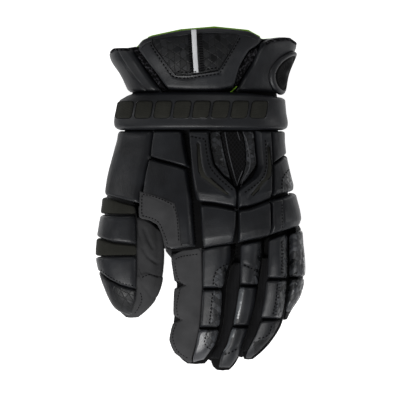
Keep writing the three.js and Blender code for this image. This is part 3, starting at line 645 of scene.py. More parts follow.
makers.update(printed_leather=facetFinish, printed_bright=facetFinish, mesh_black=diamondFinish,
              knit_black=pileFinish)
slotOf = {name: "leather_charcoal" for name in ("thread_dark", "piping_grey", "leather_light")}
slotOf.update(facet_bright="printed_leather", printed_bright="printed_leather")
for finishName, look in looks.items():
    makers.get(finishName, wovenFinish)(finishName, slotOf.get(finishName, finishName), look)
print("finishes", len(finishes))


def addObject(name, data):
    made = bpy.data.objects.new(name, data)
    bpy.context.scene.collection.objects.link(made)
    return made


# Mesh as a piece of the glove, in metres, with its finish and the CAD nodes that it stands for
def makePiece(name, vertices, faces, finish, replaced=(), faceFinish=None):
    mesh = bpy.data.meshes.new(name)
    mesh.from_pydata([tuple(v * metre) for v in vertices], [], faces)
    mesh.update()
    names = [finish] if isinstance(finish, str) else list(finish)
    for each in names:
        mesh.materials.append(finishes[each]["material"])
    for polygon in mesh.polygons:
        polygon.use_smooth = True
        if faceFinish:
            polygon.material_index = faceFinish[polygon.index]
    piece = addObject(name, mesh)
    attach(piece, "root")
    if replaced:
        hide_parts(*replaced)
    return piece


# Volume test, so that closed meshes have their faces pointing out
def facesOut(vertices, faces):
    volume = 0.0
    for face in faces:
        a = vertices[face[0]]
        for i in range(1, len(face) - 1):
            volume += a.dot(vertices[face[i]].cross(vertices[face[i + 1]]))
    return faces if volume > 0 else [tuple(reversed(face)) for face in faces]


# Faces between two rings of vertices that start at a and b
def ringFaces(a, b, count):
    return [(a + i, a + (i + 1) % count, b + (i + 1) % count, b + i) for i in range(count)]


squareness = 0.7  # of the section of a bar, where 1 is an ellipse


# Threads and other small pieces gathered in one mesh
class Bundle:
    def __init__(self):
        self.vertices = []
        self.faces = []

    # Spindle from a to b, the shape of one stitch
    def spindle(self, a, b, radius, sides=6):
        axis = (b - a)
        length = axis.length
        if length < 1e-6:
            return
        axis = axis / length
        side = axis.orthogonal().normalized()
        other = axis.cross(side)
        start = len(self.vertices)
        self.vertices.append(a)
        for share, girth in ((0.12, 0.75), (0.5, 1.0), (0.88, 0.75)):
            for i in range(sides):
                turn = 2 * math.pi * i / sides
                offset = (side * math.cos(turn) + other * math.sin(turn)) * radius * girth
                self.vertices.append(a + axis * length * share + offset)
        self.vertices.append(b)
        for i in range(sides):
            j = (i + 1) % sides
            self.faces.append((start, start + 1 + j, start + 1 + i))
            for ring in (0, 1):
                low = start + 1 + ring * sides
                self.faces.append((low + i, low + j, low + sides + j, low + sides + i))
            self.faces.append((start + 1 + 3 * sides, start + 1 + 2 * sides + i, start + 1 + 2 * sides + j))

    # Round or flat bar along a path of points with their normals
    def bar(self, path, width, thickness, sides=10, closed=False):
        start = len(self.vertices)
        count = len(path)
        for k, (point, normal) in enumerate(path):
            ahead = path[(k + 1) % count if closed else min(k + 1, count - 1)][0]
            behind = path[(k - 1) % count if closed else max(k - 1, 0)][0]
            along = (ahead - behind).normalized()
            across = along.cross(normal).normalized()
            lift = across.cross(along)
            wide = width[min(k, len(width) - 1)] if isinstance(width, list) else width
            for i in range(sides):
                turn = 2 * math.pi * i / sides
                x = math.copysign(abs(math.cos(turn)) ** squareness, math.cos(turn)) * wide / 2
                y = math.copysign(abs(math.sin(turn)) ** squareness, math.sin(turn)) * thickness / 2
                self.vertices.append(point + across * x + lift * y)
        for k in range(count if closed else count - 1):
            self.faces += ringFaces(start + k * sides, start + ((k + 1) % count) * sides, sides)
        if not closed:
            self.faces.append(tuple(start + i for i in reversed(range(sides))))
            self.faces.append(tuple(start + (count - 1) * sides + i for i in range(sides)))

    # Upright wall along plan points, each with its lowest and highest z
    def wall(self, points, width):
        start = len(self.vertices)
        for k, (x, y, low, high) in enumerate(points):
            ahead = points[min(k + 1, len(points) - 1)]
            behind = points[max(k - 1, 0)]
            along = Vector((ahead[0] - behind[0], ahead[1] - behind[1], 0)).normalized()
            across = Vector((-along.y, along.x, 0)) * (width / 2)
            for sign, z in ((1, low), (1, high), (-1, high), (-1, low)):
                self.vertices.append(Vector((x, y, z)) + across * sign)
        for k in range(len(points) - 1):
            self.faces += ringFaces(start + k * 4, start + k * 4 + 4, 4)
        last = start + (len(points) - 1) * 4
        self.faces.append(tuple(start + i for i in (3, 2, 1, 0)))
        self.faces.append(tuple(last + i for i in range(4)))

    def make(self, name, finish):
        makePiece(name, self.vertices, self.faces, finish)


# Evenly spaced places along a path of points with normals
def spreadPath(path, pitch, length):
    places = [0.0]
    for a, b in zip(path, path[1:]):
        places.append(places[-1] + (b[0] - a[0]).length)
    count = max(1, int((places[-1] - length) / pitch))
    spare = (places[-1] - length - count * pitch) / 2

    def at(place):
        i = 0
        while i < len(places) - 2 and places[i + 1] < place:
            i += 1
        span = places[i + 1] - places[i] or 1e-6
        t = clamp((place - places[i]) / span, 0, 1)
        return path[i][0].lerp(path[i + 1][0], t), path[i][1].lerp(path[i + 1][1], t)

    return [(at(spare + k * pitch), at(spare + k * pitch + length)) for k in range(count + 1)]


# Row of stitches along a path
def sewPath(bundle, path, look):
    for (a, normalA), (b, normalB) in spreadPath(path, look["pitch"], look["length"]):
        bundle.spindle(a + normalA * look["lift"], b + normalB * look["lift"], look["radius"])


# Shortest way from a place to a line
def distanceTo(place, line):
    best = 1e9
    x, y = place
    for (ax, ay), (bx, by) in zip(line, line[1:]):
        dx = bx - ax
        dy = by - ay
        t = clamp(((x - ax) * dx + (y - ay) * dy) / (dx * dx + dy * dy + 1e-9), 0, 1)
        best = min(best, math.hypot(x - ax - t * dx, y - ay - t * dy))
    return best


# Slow uneven swell of filled leather, the same at each run
def swell(x, y, seed):
    value = math.sin(x * 0.21 + seed * 1.7) * math.sin(y * 0.17 + seed * 2.3)
    return value + 0.6 * math.sin(x * 0.43 + y * 0.31 + seed * 0.9) * math.sin(y * 0.37 - x * 0.19 + seed)


# Lengths in millimetres and shares that all pads have in common
padLook = {"edgeDepth": 0.62, "corner": 4.0, "swell": 0.09, "grow": 0.55, "overlayGrow": 0.2,
           "strapShare": 0.4, "leastThickness": 0.15, "bevelEase": 0.12, "wedgeDepth": 1.6, "wedgeEdge": 0.9,
           "wedgeLength": 7, "step": 1.5, "edgeSteps": [0.0, 0.3, 0.7, 1.2, 1.8, 2.5, 3.3], "fill": 0.85}


# A pad, patch or strip over a form, with everything that shapes its top
class Pad:
    def __init__(self, name, spec):
        self.name = name
        self.spec = spec
        self.form = forms[spec["form"]]
        self.patch = Patch(self.form, spec)
        self.layer = spec.get("layer", "full")
        self.seed = sum(ord(letter) for letter in name) % 97
        grow = padLook["grow" if self.layer == "full" else "overlayGrow"]
        reach = {edge: spec.get("wrap", {}).get(edge, grow) for edge in ("left", "right", "top", "bottom")}
        self.low = -reach["left"] / self.patch.width
        self.high = 1 + reach["right"] / self.patch.width
        self.start = -reach["top"] / self.patch.height
        self.end = 1 + reach["bottom"] / self.patch.height
        self.grooves = []
        for groove in spec.get("grooves", []):
            points = smoothLine(groove["line"], 5, groove.get("bend", 0.6))
            line = [self.patch.unroll(*point) for point in points]
            self.grooves.append((line, groove["width"], groove["depth"]))

    # Depths of the top and the underside below the outer surface of the form
    def layerAt(self, angle, row):
        padding = self.form.paddingAt(angle, row)
        if self.layer == "full":
            return 0.0, padding
        if self.layer == "overlay":
            return max(padding - build["overlay"], 0.0), padding
        if self.layer == "strap":
            return padding * padLook["strapShare"] * smooth(math.sin(angle)), padding
        base, relief = self.layer
        return -base - relief, -base

    def edgeGap(self, u, v):
        a = min(u - self.low, self.high - u) * self.patch.width
        b = min(v - self.start, self.end - v) * self.patch.height
        r = self.spec.get("corner", padLook["corner"])
        if a < r and b < r:
            return r - math.hypot(r - a, r - b)
        return min(a, b)

    # Millimetres that the top lies below its layer's top
    def relief(self, u, v, place, thickness):
        gap = max(self.edgeGap(u, v), 0.0)
        drop = 0.0
        if gap < self.spec["edgeRadius"]:
            t = 1 - gap / self.spec["edgeRadius"]
            depth = self.spec.get("edgeDepth", padLook["edgeDepth"])
            drop += (1 - math.sqrt(max(0.0, 1 - t * t))) * depth * thickness
        for edge, width, depth in self.spec.get("bevels", []):
            away = {"left": (u - self.low) * self.patch.width, "right": (self.high - u) * self.patch.width,
                    "bottom": (self.end - v) * self.patch.height}[edge]
            slope = 1 - away / width
            near = padLook["bevelEase"]
            drop += depth * (slope if slope > near else max(0.0, slope + near) ** 2 / (4 * near))
        for inset, width, depth in self.spec.get("channels", []):
            drop += depth * math.exp(-((self.edgeGap(u, v) - inset) / width) ** 2)
        for line, width, depth in self.grooves:
            away = distanceTo(place, line)
            if away < width * 2.5:
                drop += depth * math.exp(-(away / width) ** 2)
        drop -= self.spec["crown"] * 16 * max(u * (1 - u), 0.0) * max(v * (1 - v), 0.0)
        drop += self.spec.get("swell", padLook["swell"]) * swell(place[0], place[1], self.seed)
        if self.spec.get("raised"):
            angle, row = self.patch.roll(place)
            drop -= raisedBars(self.form.columnAt(angle, row), row)
        if self.spec.get("notches"):
            angle, row = self.patch.roll(place)
            inside = self.notchAt(self.form.columnAt(angle, row), row)
            drop += padLook["wedgeDepth"] * smooth(inside / padLook["wedgeEdge"])
            for first, last, height in self.spec["lobes"]:
                share = abs((row - (first + last) / 2) / (last - first) * 2)
                drop -= height * abs(math.cos(angle)) ** 3 * max(0.0, 1 - share ** 3)
        return drop

    # Millimetres by which a plan point lies inside one of the wedges cut into the left edge
    def notchAt(self, column, row):
        return max(halfTall * clamp((tip - column) / padLook["wedgeLength"], 0, 1) - abs(row - middle)
                   for tip, middle, halfTall in self.spec["notches"])

    def surface(self, u, v):
        place = self.patch.at(u, v)
        angle, row = self.patch.roll(place)
        high, low = self.layerAt(angle, row)
        drop = self.relief(u, v, place, low - high)
        return self.form.point(angle, row, min(high + drop, low - padLook["leastThickness"]))

    def surfaceWithNormal(self, u, v):
        step = 0.004
        across = self.surface(min(u + step, self.high), v) - self.surface(max(u - step, self.low), v)
        down = self.surface(u, min(v + step, self.end)) - self.surface(u, max(v - step, self.start))
        return self.surface(u, v), down.cross(across).normalized()

    # Samples from low to high, close together at both ends
    def shares(self, low, high, scale):
        length = (high - low) * scale
        edge = [place for place in padLook["edgeSteps"] if place < length * 0.35]
        inner = length - 2 * edge[-1]
        count = max(2, int(inner / self.spec.get("step", padLook["step"])))
        places = edge[:-1] + [edge[-1] + inner * i / count for i in range(count + 1)]
        places += [length - place for place in reversed(edge[:-1])]
        return [low + place / scale for place in places]

    def makeMesh(self):
        us = self.shares(self.low, self.high, self.patch.width)
        vs = self.shares(self.start, self.end, self.patch.height)
        wide = len(us)
        vertices = [self.surface(u, v) for v in vs for u in us]
        under = len(vertices)
        for v in vs:
            for u in us:
                angle, row = self.patch.roll(self.patch.at(u, v))
                vertices.append(self.form.point(angle, row, self.layerAt(angle, row)[1], 0.0))
        faces = []
        for j in range(len(vs) - 1):
            for i in range(wide - 1):
                a = j * wide + i
                faces.append((a, a + wide, a + wide + 1, a + 1))
                faces.append((under + a, under + a + 1, under + a + wide + 1, under + a + wide))
        rim = [(i, i + 1) for i in range(wide - 1)]
        rim += [(j * wide + wide - 1, (j + 1) * wide + wide - 1) for j in range(len(vs) - 1)]
        rim += [(under - wide + i, under - wide + i - 1) for i in range(wide - 1, 0, -1)]
        rim += [(j * wide, (j - 1) * wide) for j in range(len(vs) - 1, 0, -1)]
        faces += [(a, b, under + b, under + a) for a, b in rim]
        return vertices, facesOut(vertices, faces)

    # Path on the top, parallel to the top edge at an inset in millimetres
    def edgePath(self, inset, start, end, count=48):
        return [self.surfaceWithNormal(start + (end - start) * k / count, inset / self.patch.height)
                for k in range(count + 1)]

    # Which faces carry the second finish, from the plan line that bounds it; on middle pads 2 and 3 the
    # second finish is a painted highlight
    def secondFinishFaces(self, vertices, faces):
        line = self.spec.get("printAndHighlightLine")
        if not line and not self.spec.get("notches") and not self.spec.get("raised"):
            return None
        wantsLeft = self.spec.get("highlightLeft", False)
        marks = []
        for face in faces:
            middle = sum((vertices[i] for i in face), Vector()) / len(face)
            column = (middle.x - plan["shiftX"]) / columnStep + plan["middleColumn"]
            row = plan["middleRow"] - (middle.y - shiftY) / rowStep
            if line:
                marks.append(int(rightOf(line, column, row) != wantsLeft))
            elif self.spec.get("raised"):
                marks.append(int(raisedBars(column, row) > bandLook["barHeight"] * 0.1))
            else:
                marks.append(int(self.notchAt(column, row) > 0.2))
        return marks

    def make(self):
        vertices, faces = self.makeMesh()
        fill = padLook["fill"] if self.layer == "full" else None
        marks = self.secondFinishFaces(vertices, faces)
        return makePiece(self.name + "_skin", vertices, faces, self.spec["finish"], [self.name], marks)
# Every pad, patch and strip: form, finish, plan edges, and what shapes its top in millimetres.
# Top and bottom list only the points between the ends of left and right.
padDefaults = {"form": "hand", "finish": "leather_charcoal", "edgeRadius": 3.0, "crown": 0.3}
padSpecs = {
    "cuff_centre_pad": {
        "form": "cuff", "wrap": {"bottom": 1.4}, "edgeRadius": 5.5, "crown": 1.0, "corner": 5.0,
        "top": [(143, 40.4), (150, 37.6), (180, 31.6), (215, 28.8), (250, 32.3)],
        "left": [(135.8, 48.5), (148, 64), (158, 77), (166, 88)],
        "right": [(264.5, 40.3), (257, 46.5), (250, 51), (241, 66), (235, 86)],
        "bottom": [(185, 89.7), (205, 90.2), (220, 89.5)],
        "grooves": [
            {"width": 1.2, "depth": 0.7, "line": [(151.5, 41), (152, 46), (159, 56), (173, 76), (186, 78),
             (201, 76), (220, 73)]},
            {"width": 1.2, "depth": 0.7, "line": [(220, 73), (226, 62), (232.5, 51), (240.5, 36)]},
        ],
    },
    "cuff_inset_panel": {
        "form": "cuff", "finish": "printed_leather", "layer": (0.7, 1.5), "edgeRadius": 1.5,
        "edgeDepth": 0.6, "step": 1.1, "swell": 0.1, "top": [(170, 37), (195, 35), (220, 34)],
        "left": [(153, 39.5), (153.5, 45), (161, 55), (175.5, 74)],
        "right": [(238.4, 34.3), (230.5, 50.5), (223.5, 62), (218.3, 70)],
        "bottom": [(188, 75), (200, 73.5)],
        "grooves": [
            {"width": 3.4, "depth": 0.5, "line": [(194.3, 33), (195, 54), (196.3, 74)]},
        ],
    },
    "cuff_lace": {
        "form": "cuff", "finish": "lace_white", "layer": (3.8, 1.2), "edgeRadius": 1.4, "edgeDepth": 0.75,
        "corner": 1.5, "step": 0.7, "swell": 0.05, "left": [(191.9, 30.2), (193, 52), (194.3, 72.5)],
        "right": [(196.2, 30), (197.2, 52), (198.5, 72.3)],
    },
    "cuff_thumb_wing": {
        "form": "cuff", "wrap": {"left": 12, "bottom": 1.2}, "edgeRadius": 4.5, "crown": 0.9, "corner": 6.0,
        "top": [(113, 48.5)], "left": [(107.5, 53.5), (109, 60), (118, 76), (126, 91)],
        "right": [(127, 48.5), (142, 71), (157.5, 91)],
        "grooves": [
            {"width": 1.6, "depth": 1.3, "line": [(118, 52), (124, 62), (134, 76), (146, 91)]},
        ],
    },
    "cuff_outer_wing": {
        "form": "cuff", "wrap": {"right": 12, "bottom": 1.2}, "edgeRadius": 4.5, "crown": 0.8,
        "corner": 6.0, "top": [(271, 40.2), (280, 38.2), (290, 37.8)],
        "left": [(264.5, 44.5), (255.5, 64.5), (245.5, 79), (239.5, 90.5)],
        "right": [(297, 42.5), (294.5, 56), (290, 70), (283.5, 91)],
    },
    "cuff_thumb_knit": {
        "form": "cuff", "finish": "knit_black", "layer": "overlay", "edgeRadius": 1.5, "crown": 0.2,
        "left": [(128.6, 50), (143.5, 71), (158.8, 91)], "right": [(135, 50), (147.5, 67), (164, 90.5)],
    },
    "cuff_outer_knit": {
        "form": "cuff", "finish": "knit_black", "layer": "overlay", "edgeRadius": 1.5, "crown": 0.2,
        "left": [(259, 47.5), (252.5, 52.5), (243.5, 67.5), (236.5, 86)],
        "right": [(264.4, 49), (254, 64), (244, 78.5), (238, 90.5)],
    },
    "wrist_band": {
        "finish": ("leather_charcoal", "strap_olive"), "wrap": {"left": 10, "right": 10, "top": 1.3},
        "edgeRadius": 3.6, "edgeDepth": 0.8, "crown": 0.4, "corner": 4.0, "step": 0.75, "swell": 0.03,
        "raised": True, "top": [(127, 95), (140, 93.5), (200, 92.8), (250, 94), (270, 96.3)],
        "left": [(122, 98), (116, 106), (112, 118), (112.5, 129.5)],
        "right": [(286, 98.5), (289, 108), (291, 120), (289, 129.5)],
    },
    "thumb_base_pad": {
        "wrap": {"left": 12}, "edgeRadius": 4.5, "crown": 0.7, "corner": 4.0,
        "left": [(116, 131.5), (113.5, 145), (109.5, 158), (104.5, 178), (102, 194.7)],
        "right": [(150, 131.5), (149, 145), (147, 157), (143, 170), (140, 185), (136.5, 203)],
        "bottom": [(120, 199)],
    },
    "back_pad_upper": {
        "edgeRadius": 2.6, "corner": 2.5, "bevels": [("right", 6.0, 2.2)],
        "left": [(153, 131.5), (151, 143), (149.5, 156.5)],
        "right": [(180, 131.5), (183, 150), (186.5, 166.8)], "bottom": [(162, 160), (175, 163.5)],
    },
    "back_pad_lower": {
        "edgeRadius": 2.8, "crown": 0.4, "corner": 2.5, "bevels": [("right", 8.0, 2.6)],
        "top": [(160, 162.8), (175, 166.5)],
        "left": [(148.3, 159.3), (144.5, 174), (142, 190), (140.6, 205), (140.6, 216.5)],
        "right": [(184, 169.5), (187, 190), (189.5, 215), (191.5, 246)],
        "bottom": [(150, 218.6), (158.5, 222.5), (164.5, 234), (168, 248)],
    },
    "web_patch": {
        "finish": "palm_leather", "layer": (0.35, 1.2), "wrap": {"left": 0.5, "bottom": 1.2},
        "edgeRadius": 1.4, "crown": 0.1, "corner": 1.5, "step": 1.1, "swell": 0.2,
        "channels": [(3.0, 0.7, 0.45)], "top": [(153, 195), (165, 199.2)],
        "left": [(141, 191.6), (140.8, 205), (141, 216.5)],
        "right": [(174.6, 203.4), (177, 212), (179.3, 225), (180.5, 240), (181.8, 245.8)],
        "bottom": [(150, 219), (158, 223.8), (163.5, 235), (167.5, 246)],
    },
    "chevron_thumb_side": {
        "corner": 2.0, "step": 1.1, "bevels": [("bottom", 10.0, 3.6)],
        "left": [(188, 131.5), (190.5, 160), (192, 178), (195, 199.5)],
        "right": [(208, 131.5), (209.5, 148), (213, 165), (222, 176), (236.5, 190), (237, 207.5)],
        "bottom": [(200, 201.8), (215, 203.5)],
        "grooves": [
            {"width": 1.7, "depth": 1.5, "bend": 0.4, "line": [(198.2, 143), (200.5, 166), (203.5, 176),
             (212, 183.5), (228.5, 195)]},
            {"width": 0.8, "depth": 0.6, "line": [(190, 135.5), (205, 138.3)]},
        ],
    },
    "chevron_outer_side": {
        "corner": 2.0, "step": 1.1, "bevels": [("bottom", 10.0, 3.6)],
        "left": [(261, 131.5), (262, 150), (263, 166), (258, 177), (239, 191), (238.7, 207.5)],
        "right": [(271.5, 131.5), (272.5, 150), (273, 170), (273.5, 198.5)],
        "bottom": [(250, 206.5), (262, 203)],
        "grooves": [
            {"width": 1.7, "depth": 1.5, "bend": 0.4, "line": [(268.3, 146), (269.3, 165), (267, 177.5),
             (258, 188), (249, 197)]},
        ],
    },
    "vent_panel_thumb_side": {
        "finish": "printed_bright", "layer": "overlay", "edgeRadius": 1.2, "crown": 0.2,
        "left": [(209.5, 131.5), (211.2, 148), (214.5, 163.5), (226, 176.5)],
        "right": [(221.3, 131.5), (224.5, 150), (228, 165), (232, 179)],
    },
    "vent_mesh": {
        "finish": "mesh_black", "layer": "overlay", "edgeRadius": 1.2, "crown": 0.2,
        "left": [(222.5, 131.5), (225.8, 150), (229.3, 165), (236, 187)],
        "right": [(246.4, 131.5), (249.4, 150), (248.4, 167), (238.7, 187)],
    },
    "vent_panel_outer_side": {
        "finish": "printed_bright", "layer": "overlay", "edgeRadius": 1.2, "crown": 0.2,
        "left": [(247.6, 131.5), (250.6, 150), (249.8, 167), (241.5, 184.5)],
        "right": [(259.3, 131.5), (260.3, 150), (261.2, 165), (245.5, 183.5)],
    },
    "outer_pad_upper": {
        "wrap": {"right": 12}, "crown": 0.4, "corner": 2.5,
        "left": [(274, 131.5), (274.5, 150), (274.8, 163)],
        "right": [(287, 131.5), (288.5, 140), (289.5, 152.5)],
    },
    "outer_pad_lower": {
        "finish": ("leather_charcoal", "printed_bright"), "wrap": {"right": 12}, "crown": 0.4,
        "corner": 2.5, "bevels": [("bottom", 6.0, 2.0)], "printAndHighlightLine": [(296, 167), (283, 179), (283, 200)],
        "left": [(274.8, 166), (275.3, 180), (275.5, 196)],
        "right": [(289.8, 155.5), (293.5, 168), (296.5, 180), (299, 190)],
    },
    "knuckle_pad_index": {
        "wrap": {"bottom": 1.8, "left": 0.6, "right": 0.6}, "crown": 0.4, "corner": 3.0,
        "bevels": [("bottom", 8.0, 3.2), ("left", 4.0, 1.0)], "top": [(217, 206.8)],
        "left": [(199.5, 205), (200.5, 225), (202, 246.5)],
        "right": [(236.5, 211), (236, 225), (233, 241.3)],
    },
    "knuckle_pad_middle": {
        "wrap": {"bottom": 1.8, "left": 0.6, "right": 0.6}, "crown": 0.4, "corner": 3.0,
        "bevels": [("bottom", 8.0, 3.2)], "top": [(250, 209.5)],
        "left": [(239, 211), (239, 228), (239.5, 240.7)],
        "right": [(271, 202), (271.5, 220), (271.7, 234.3)],
    },
    "knuckle_pad_outer": {
        "wrap": {"bottom": 1.4, "left": 0.6, "right": 12}, "crown": 0.4, "corner": 3.0,
        "bevels": [("bottom", 8.0, 3.0)], "top": [(285, 198.5)],
        "left": [(273.5, 201), (273.5, 220), (273.7, 233.7)],
        "right": [(300, 193.5), (303.5, 212), (304.5, 222), (302, 225.5)],
        "grooves": [
            {"width": 1.1, "depth": 1.2, "line": [(283.2, 199), (283.4, 215), (283.6, 232)]},
        ],
    },
    "thumb_strap_upper": {
        "form": "thumb", "finish": "strap_olive", "layer": "strap", "wrap": {"left": 7}, "edgeRadius": 2.0,
        "top": [(120, 202.3)], "left": [(101.5, 197.5), (100, 206), (98.8, 213.5)],
        "right": [(137, 206.3), (137.2, 210), (137.2, 214)],
    },
    "thumb_middle_pad": {
        "form": "thumb", "wrap": {"left": 7}, "edgeRadius": 3.2, "crown": 0.5, "corner": 3.0,
        "bevels": [("right", 6.0, 1.8)], "top": [(118, 216.2)],
        "left": [(98.3, 215.6), (96.5, 226), (95, 236.5)],
        "right": [(137.2, 215.6), (138, 228), (138, 244)], "bottom": [(112, 241.5)],
    },
    "thumb_strap_lower": {
        "form": "thumb", "finish": "strap_olive", "layer": "strap", "wrap": {"left": 7}, "edgeRadius": 2.0,
        "top": [(112, 243.3)], "left": [(94.8, 238.3), (93.8, 247), (93.6, 256)],
        "right": [(138, 245.8), (138, 250), (137.8, 255)],
    },
    "thumb_tip_pad": {
        "form": "thumb", "wrap": {"left": 7, "bottom": 1.2}, "edgeRadius": 3.2, "crown": 0.5, "corner": 3.0,
        "bevels": [("right", 6.0, 1.8)], "top": [(116, 257.2)],
        "left": [(93.7, 257.6), (95, 264), (97.3, 270.5)],
        "right": [(137.8, 256.6), (137.6, 272), (137, 289)], "bottom": [(109, 279.3), (120, 284.5)],
    },
    "thumb_tip_cap": {
        "form": "thumb", "finish": "printed_leather", "wrap": {"left": 6, "top": 1.0}, "crown": 0.4,
        "corner": 3.0, "top": [(109, 281), (120, 286.3)],
        "left": [(97.8, 272.3), (103.5, 289), (111, 305), (120, 312.5)],
        "right": [(137, 290.8), (135.5, 303), (131.5, 315)], "bottom": [(126, 315)],
    },
    "index_pad_1": {
        "form": "index", "finish": ("leather_charcoal", "printed_bright"),
        "wrap": {"left": 0.6, "right": 1.6, "top": 1.8}, "edgeRadius": 2.6,
        "bevels": [("left", 2.5, 0.9), ("bottom", 2.5, 0.8)],
        "printAndHighlightLine": [(235, 262), (225, 266), (216.5, 271), (214, 280), (213.5, 290)],
        "top": [(212, 248.8)], "left": [(202, 251), (202, 270), (202, 287.5)],
        "right": [(231, 245.5), (230.5, 260), (226, 273), (223.5, 287.5)],
    },
    "index_pad_2": {
        "form": "index", "finish": ("leather_charcoal", "printed_bright"), "edgeRadius": 2.4,
        "bevels": [("left", 2.5, 0.9), ("bottom", 2.5, 0.8)],
        "printAndHighlightLine": [(213.5, 288), (212.3, 308), (210, 330)],
        "left": [(202, 290.5), (201, 310), (199.5, 327)],
        "right": [(222.5, 290.5), (221.8, 310), (219.8, 327)],
    },
    # Left of its line the tip pad carries the painted highlight; right of it, the print
    "index_pad_3": {
        "form": "index", "finish": ("leather_light", "printed_bright"),
        "wrap": {"left": 0.8, "right": 3.0, "bottom": 3.4}, "edgeRadius": 2.4,
        "printAndHighlightLine": [(207.5, 328), (205.5, 342), (208, 347), (216, 350)],
        "left": [(199, 330.5), (196.5, 345), (193, 359.5)],
        "right": [(219, 330.5), (214.5, 345), (206, 357)],
    },
    "index_side_panel": {
        "form": "index", "finish": ("palm_leather", "shell_black"), "layer": "overlay",
        "wrap": {"left": 6, "bottom": 3.0, "top": 4.0}, "edgeRadius": 1.2, "crown": 0.1, "step": 0.9,
        "notches": [(184.5, 285, 4.0), (181, 319.8, 4.2)],
        "lobes": [(254, 284, 1.6), (286, 318.5, 1.5), (321, 366, 3.2)], "top": [(180, 254.5)],
        "left": [(173, 258), (175.5, 275), (175.5, 300), (174.5, 325), (173, 341), (178.5, 354),
                (187, 360.5)],
        "right": [(199.5, 252), (200.5, 285), (198.5, 320), (195, 342), (191, 359.5)],
    },
    "middle_pad_1": {
        "form": "middle", "finish": ("leather_charcoal", "printed_bright"),
        "wrap": {"left": 0.8, "right": 1.2, "top": 1.8}, "edgeRadius": 2.6, "bevels": [("left", 3.5, 1.6)],
        "printAndHighlightLine": [(256, 244), (257, 262), (253.5, 275), (250, 286)],
        "left": [(238.8, 246.3), (239, 262), (238.8, 284)],
        "right": [(264.6, 242.4), (263.5, 256), (259.6, 270), (259, 284)],
        "grooves": [
            {"width": 0.9, "depth": 0.7, "line": [(241, 262.5), (249, 265.5), (259, 271)]},
        ],
    },
    # Left of its line this pad carries a painted highlight on the bevel
    "middle_pad_2": {
        "form": "middle", "finish": ("leather_charcoal", "facet_bright"),
        "wrap": {"left": 0.8, "right": 1.8}, "edgeRadius": 2.4, "bevels": [("left", 4.0, 2.0)],
        "printAndHighlightLine": [(243.6, 286), (240.4, 305), (235.6, 327)], "highlightLeft": True,
        "left": [(238.5, 287.5), (236, 305), (232.5, 325)],
        "right": [(259, 287.5), (256.3, 305), (251, 325)],
    },
    # Left of its line this pad carries a painted highlight on the bevel
    "middle_pad_3": {
        "form": "middle", "finish": ("leather_charcoal", "facet_bright"),
        "wrap": {"left": 1.2, "right": 2.2, "bottom": 2.2}, "edgeRadius": 2.4,
        "bevels": [("left", 4.0, 1.8)], "printAndHighlightLine": [(235.5, 328), (232, 340), (226, 351), (210, 353)],
        "highlightLeft": True, "left": [(231.5, 328.5), (227, 345), (221.5, 354), (219, 366)],
        "right": [(249.5, 328.5), (243, 345), (238.5, 356), (231.5, 366)],
        "grooves": [
            {"width": 0.9, "depth": 0.8, "line": [(221, 353.5), (229, 351.8), (240, 346.5)]},
        ],
    },
    "ring_pad_1": {
        "form": "ring", "finish": ("leather_charcoal", "printed_bright"),
        "wrap": {"left": 1.6, "right": 3.0, "top": 1.8}, "edgeRadius": 2.6, "bevels": [("left", 3.0, 1.3)],
        "printAndHighlightLine": [(283.5, 236), (283.5, 258), (283, 280)],
        "left": [(267.6, 241.7), (267.3, 260), (266.5, 277.5)],
        "right": [(287, 236), (287, 260), (286.6, 277.5)],
    },
    "ring_pad_2": {
        "form": "ring", "finish": ("leather_charcoal", "printed_bright"),
        "wrap": {"left": 1.6, "right": 3.2}, "edgeRadius": 2.4, "bevels": [("left", 3.0, 1.3)],
        "printAndHighlightLine": [(279, 280), (277.5, 300), (274, 319)],
        "left": [(265.6, 281), (263.4, 300), (260, 318)], "right": [(286.5, 281), (284.5, 300), (281, 318)],
    },
    "ring_pad_3": {
        "form": "ring", "finish": ("leather_charcoal", "printed_leather"),
        "wrap": {"left": 1.0, "right": 3.6, "bottom": 2.6}, "edgeRadius": 2.4,
        "printAndHighlightLine": [(274.5, 320), (271.5, 336), (264, 340.5), (254, 341.5)],
        "left": [(260.8, 321.3), (255.5, 335), (248.5, 350), (246, 356.5)],
        "right": [(280, 321.3), (272, 336), (259.5, 350), (252.5, 356.5)],
    },
    "little_pad_1": {
        "form": "little", "finish": "printed_bright", "wrap": {"left": 2.8, "right": 2.5, "top": 1.0},
        "edgeRadius": 2.4, "left": [(289.7, 235), (289.8, 255), (289.7, 276)],
        "right": [(304, 231.5), (305.5, 255), (306.3, 276)],
    },
    "little_pad_2": {
        "form": "little", "finish": "printed_bright", "wrap": {"left": 2.4, "right": 0.8, "bottom": 2.5},
        "edgeRadius": 2.4, "left": [(289.4, 279.5), (288, 297), (286.3, 309.5)],
        "right": [(305.8, 279.5), (301, 297), (293, 309.5)],
    },
    "gusset_index_middle": {
        "form": "middle", "finish": "gusset_black", "layer": "overlay", "wrap": {"left": 5},
        "edgeRadius": 1.2, "crown": 0.1,
        "left": [(233.4, 263), (228.6, 276), (225.8, 300), (222.8, 326), (217.5, 346), (211.5, 359)],
        "right": [(238.5, 263), (237, 286), (232, 316), (228.5, 332), (224.5, 345), (218, 359)],
    },
    "gusset_middle_ring": {
        "form": "ring", "finish": "gusset_black", "layer": "overlay", "wrap": {"left": 5},
        "edgeRadius": 1.2, "crown": 0.1,
        "left": [(262.3, 258), (259, 281), (255.8, 304), (250, 326), (244.5, 344), (242.2, 352)],
        "right": [(266.8, 258), (266, 280), (261, 313), (257, 328), (250.5, 343), (247, 351)],
    },
}


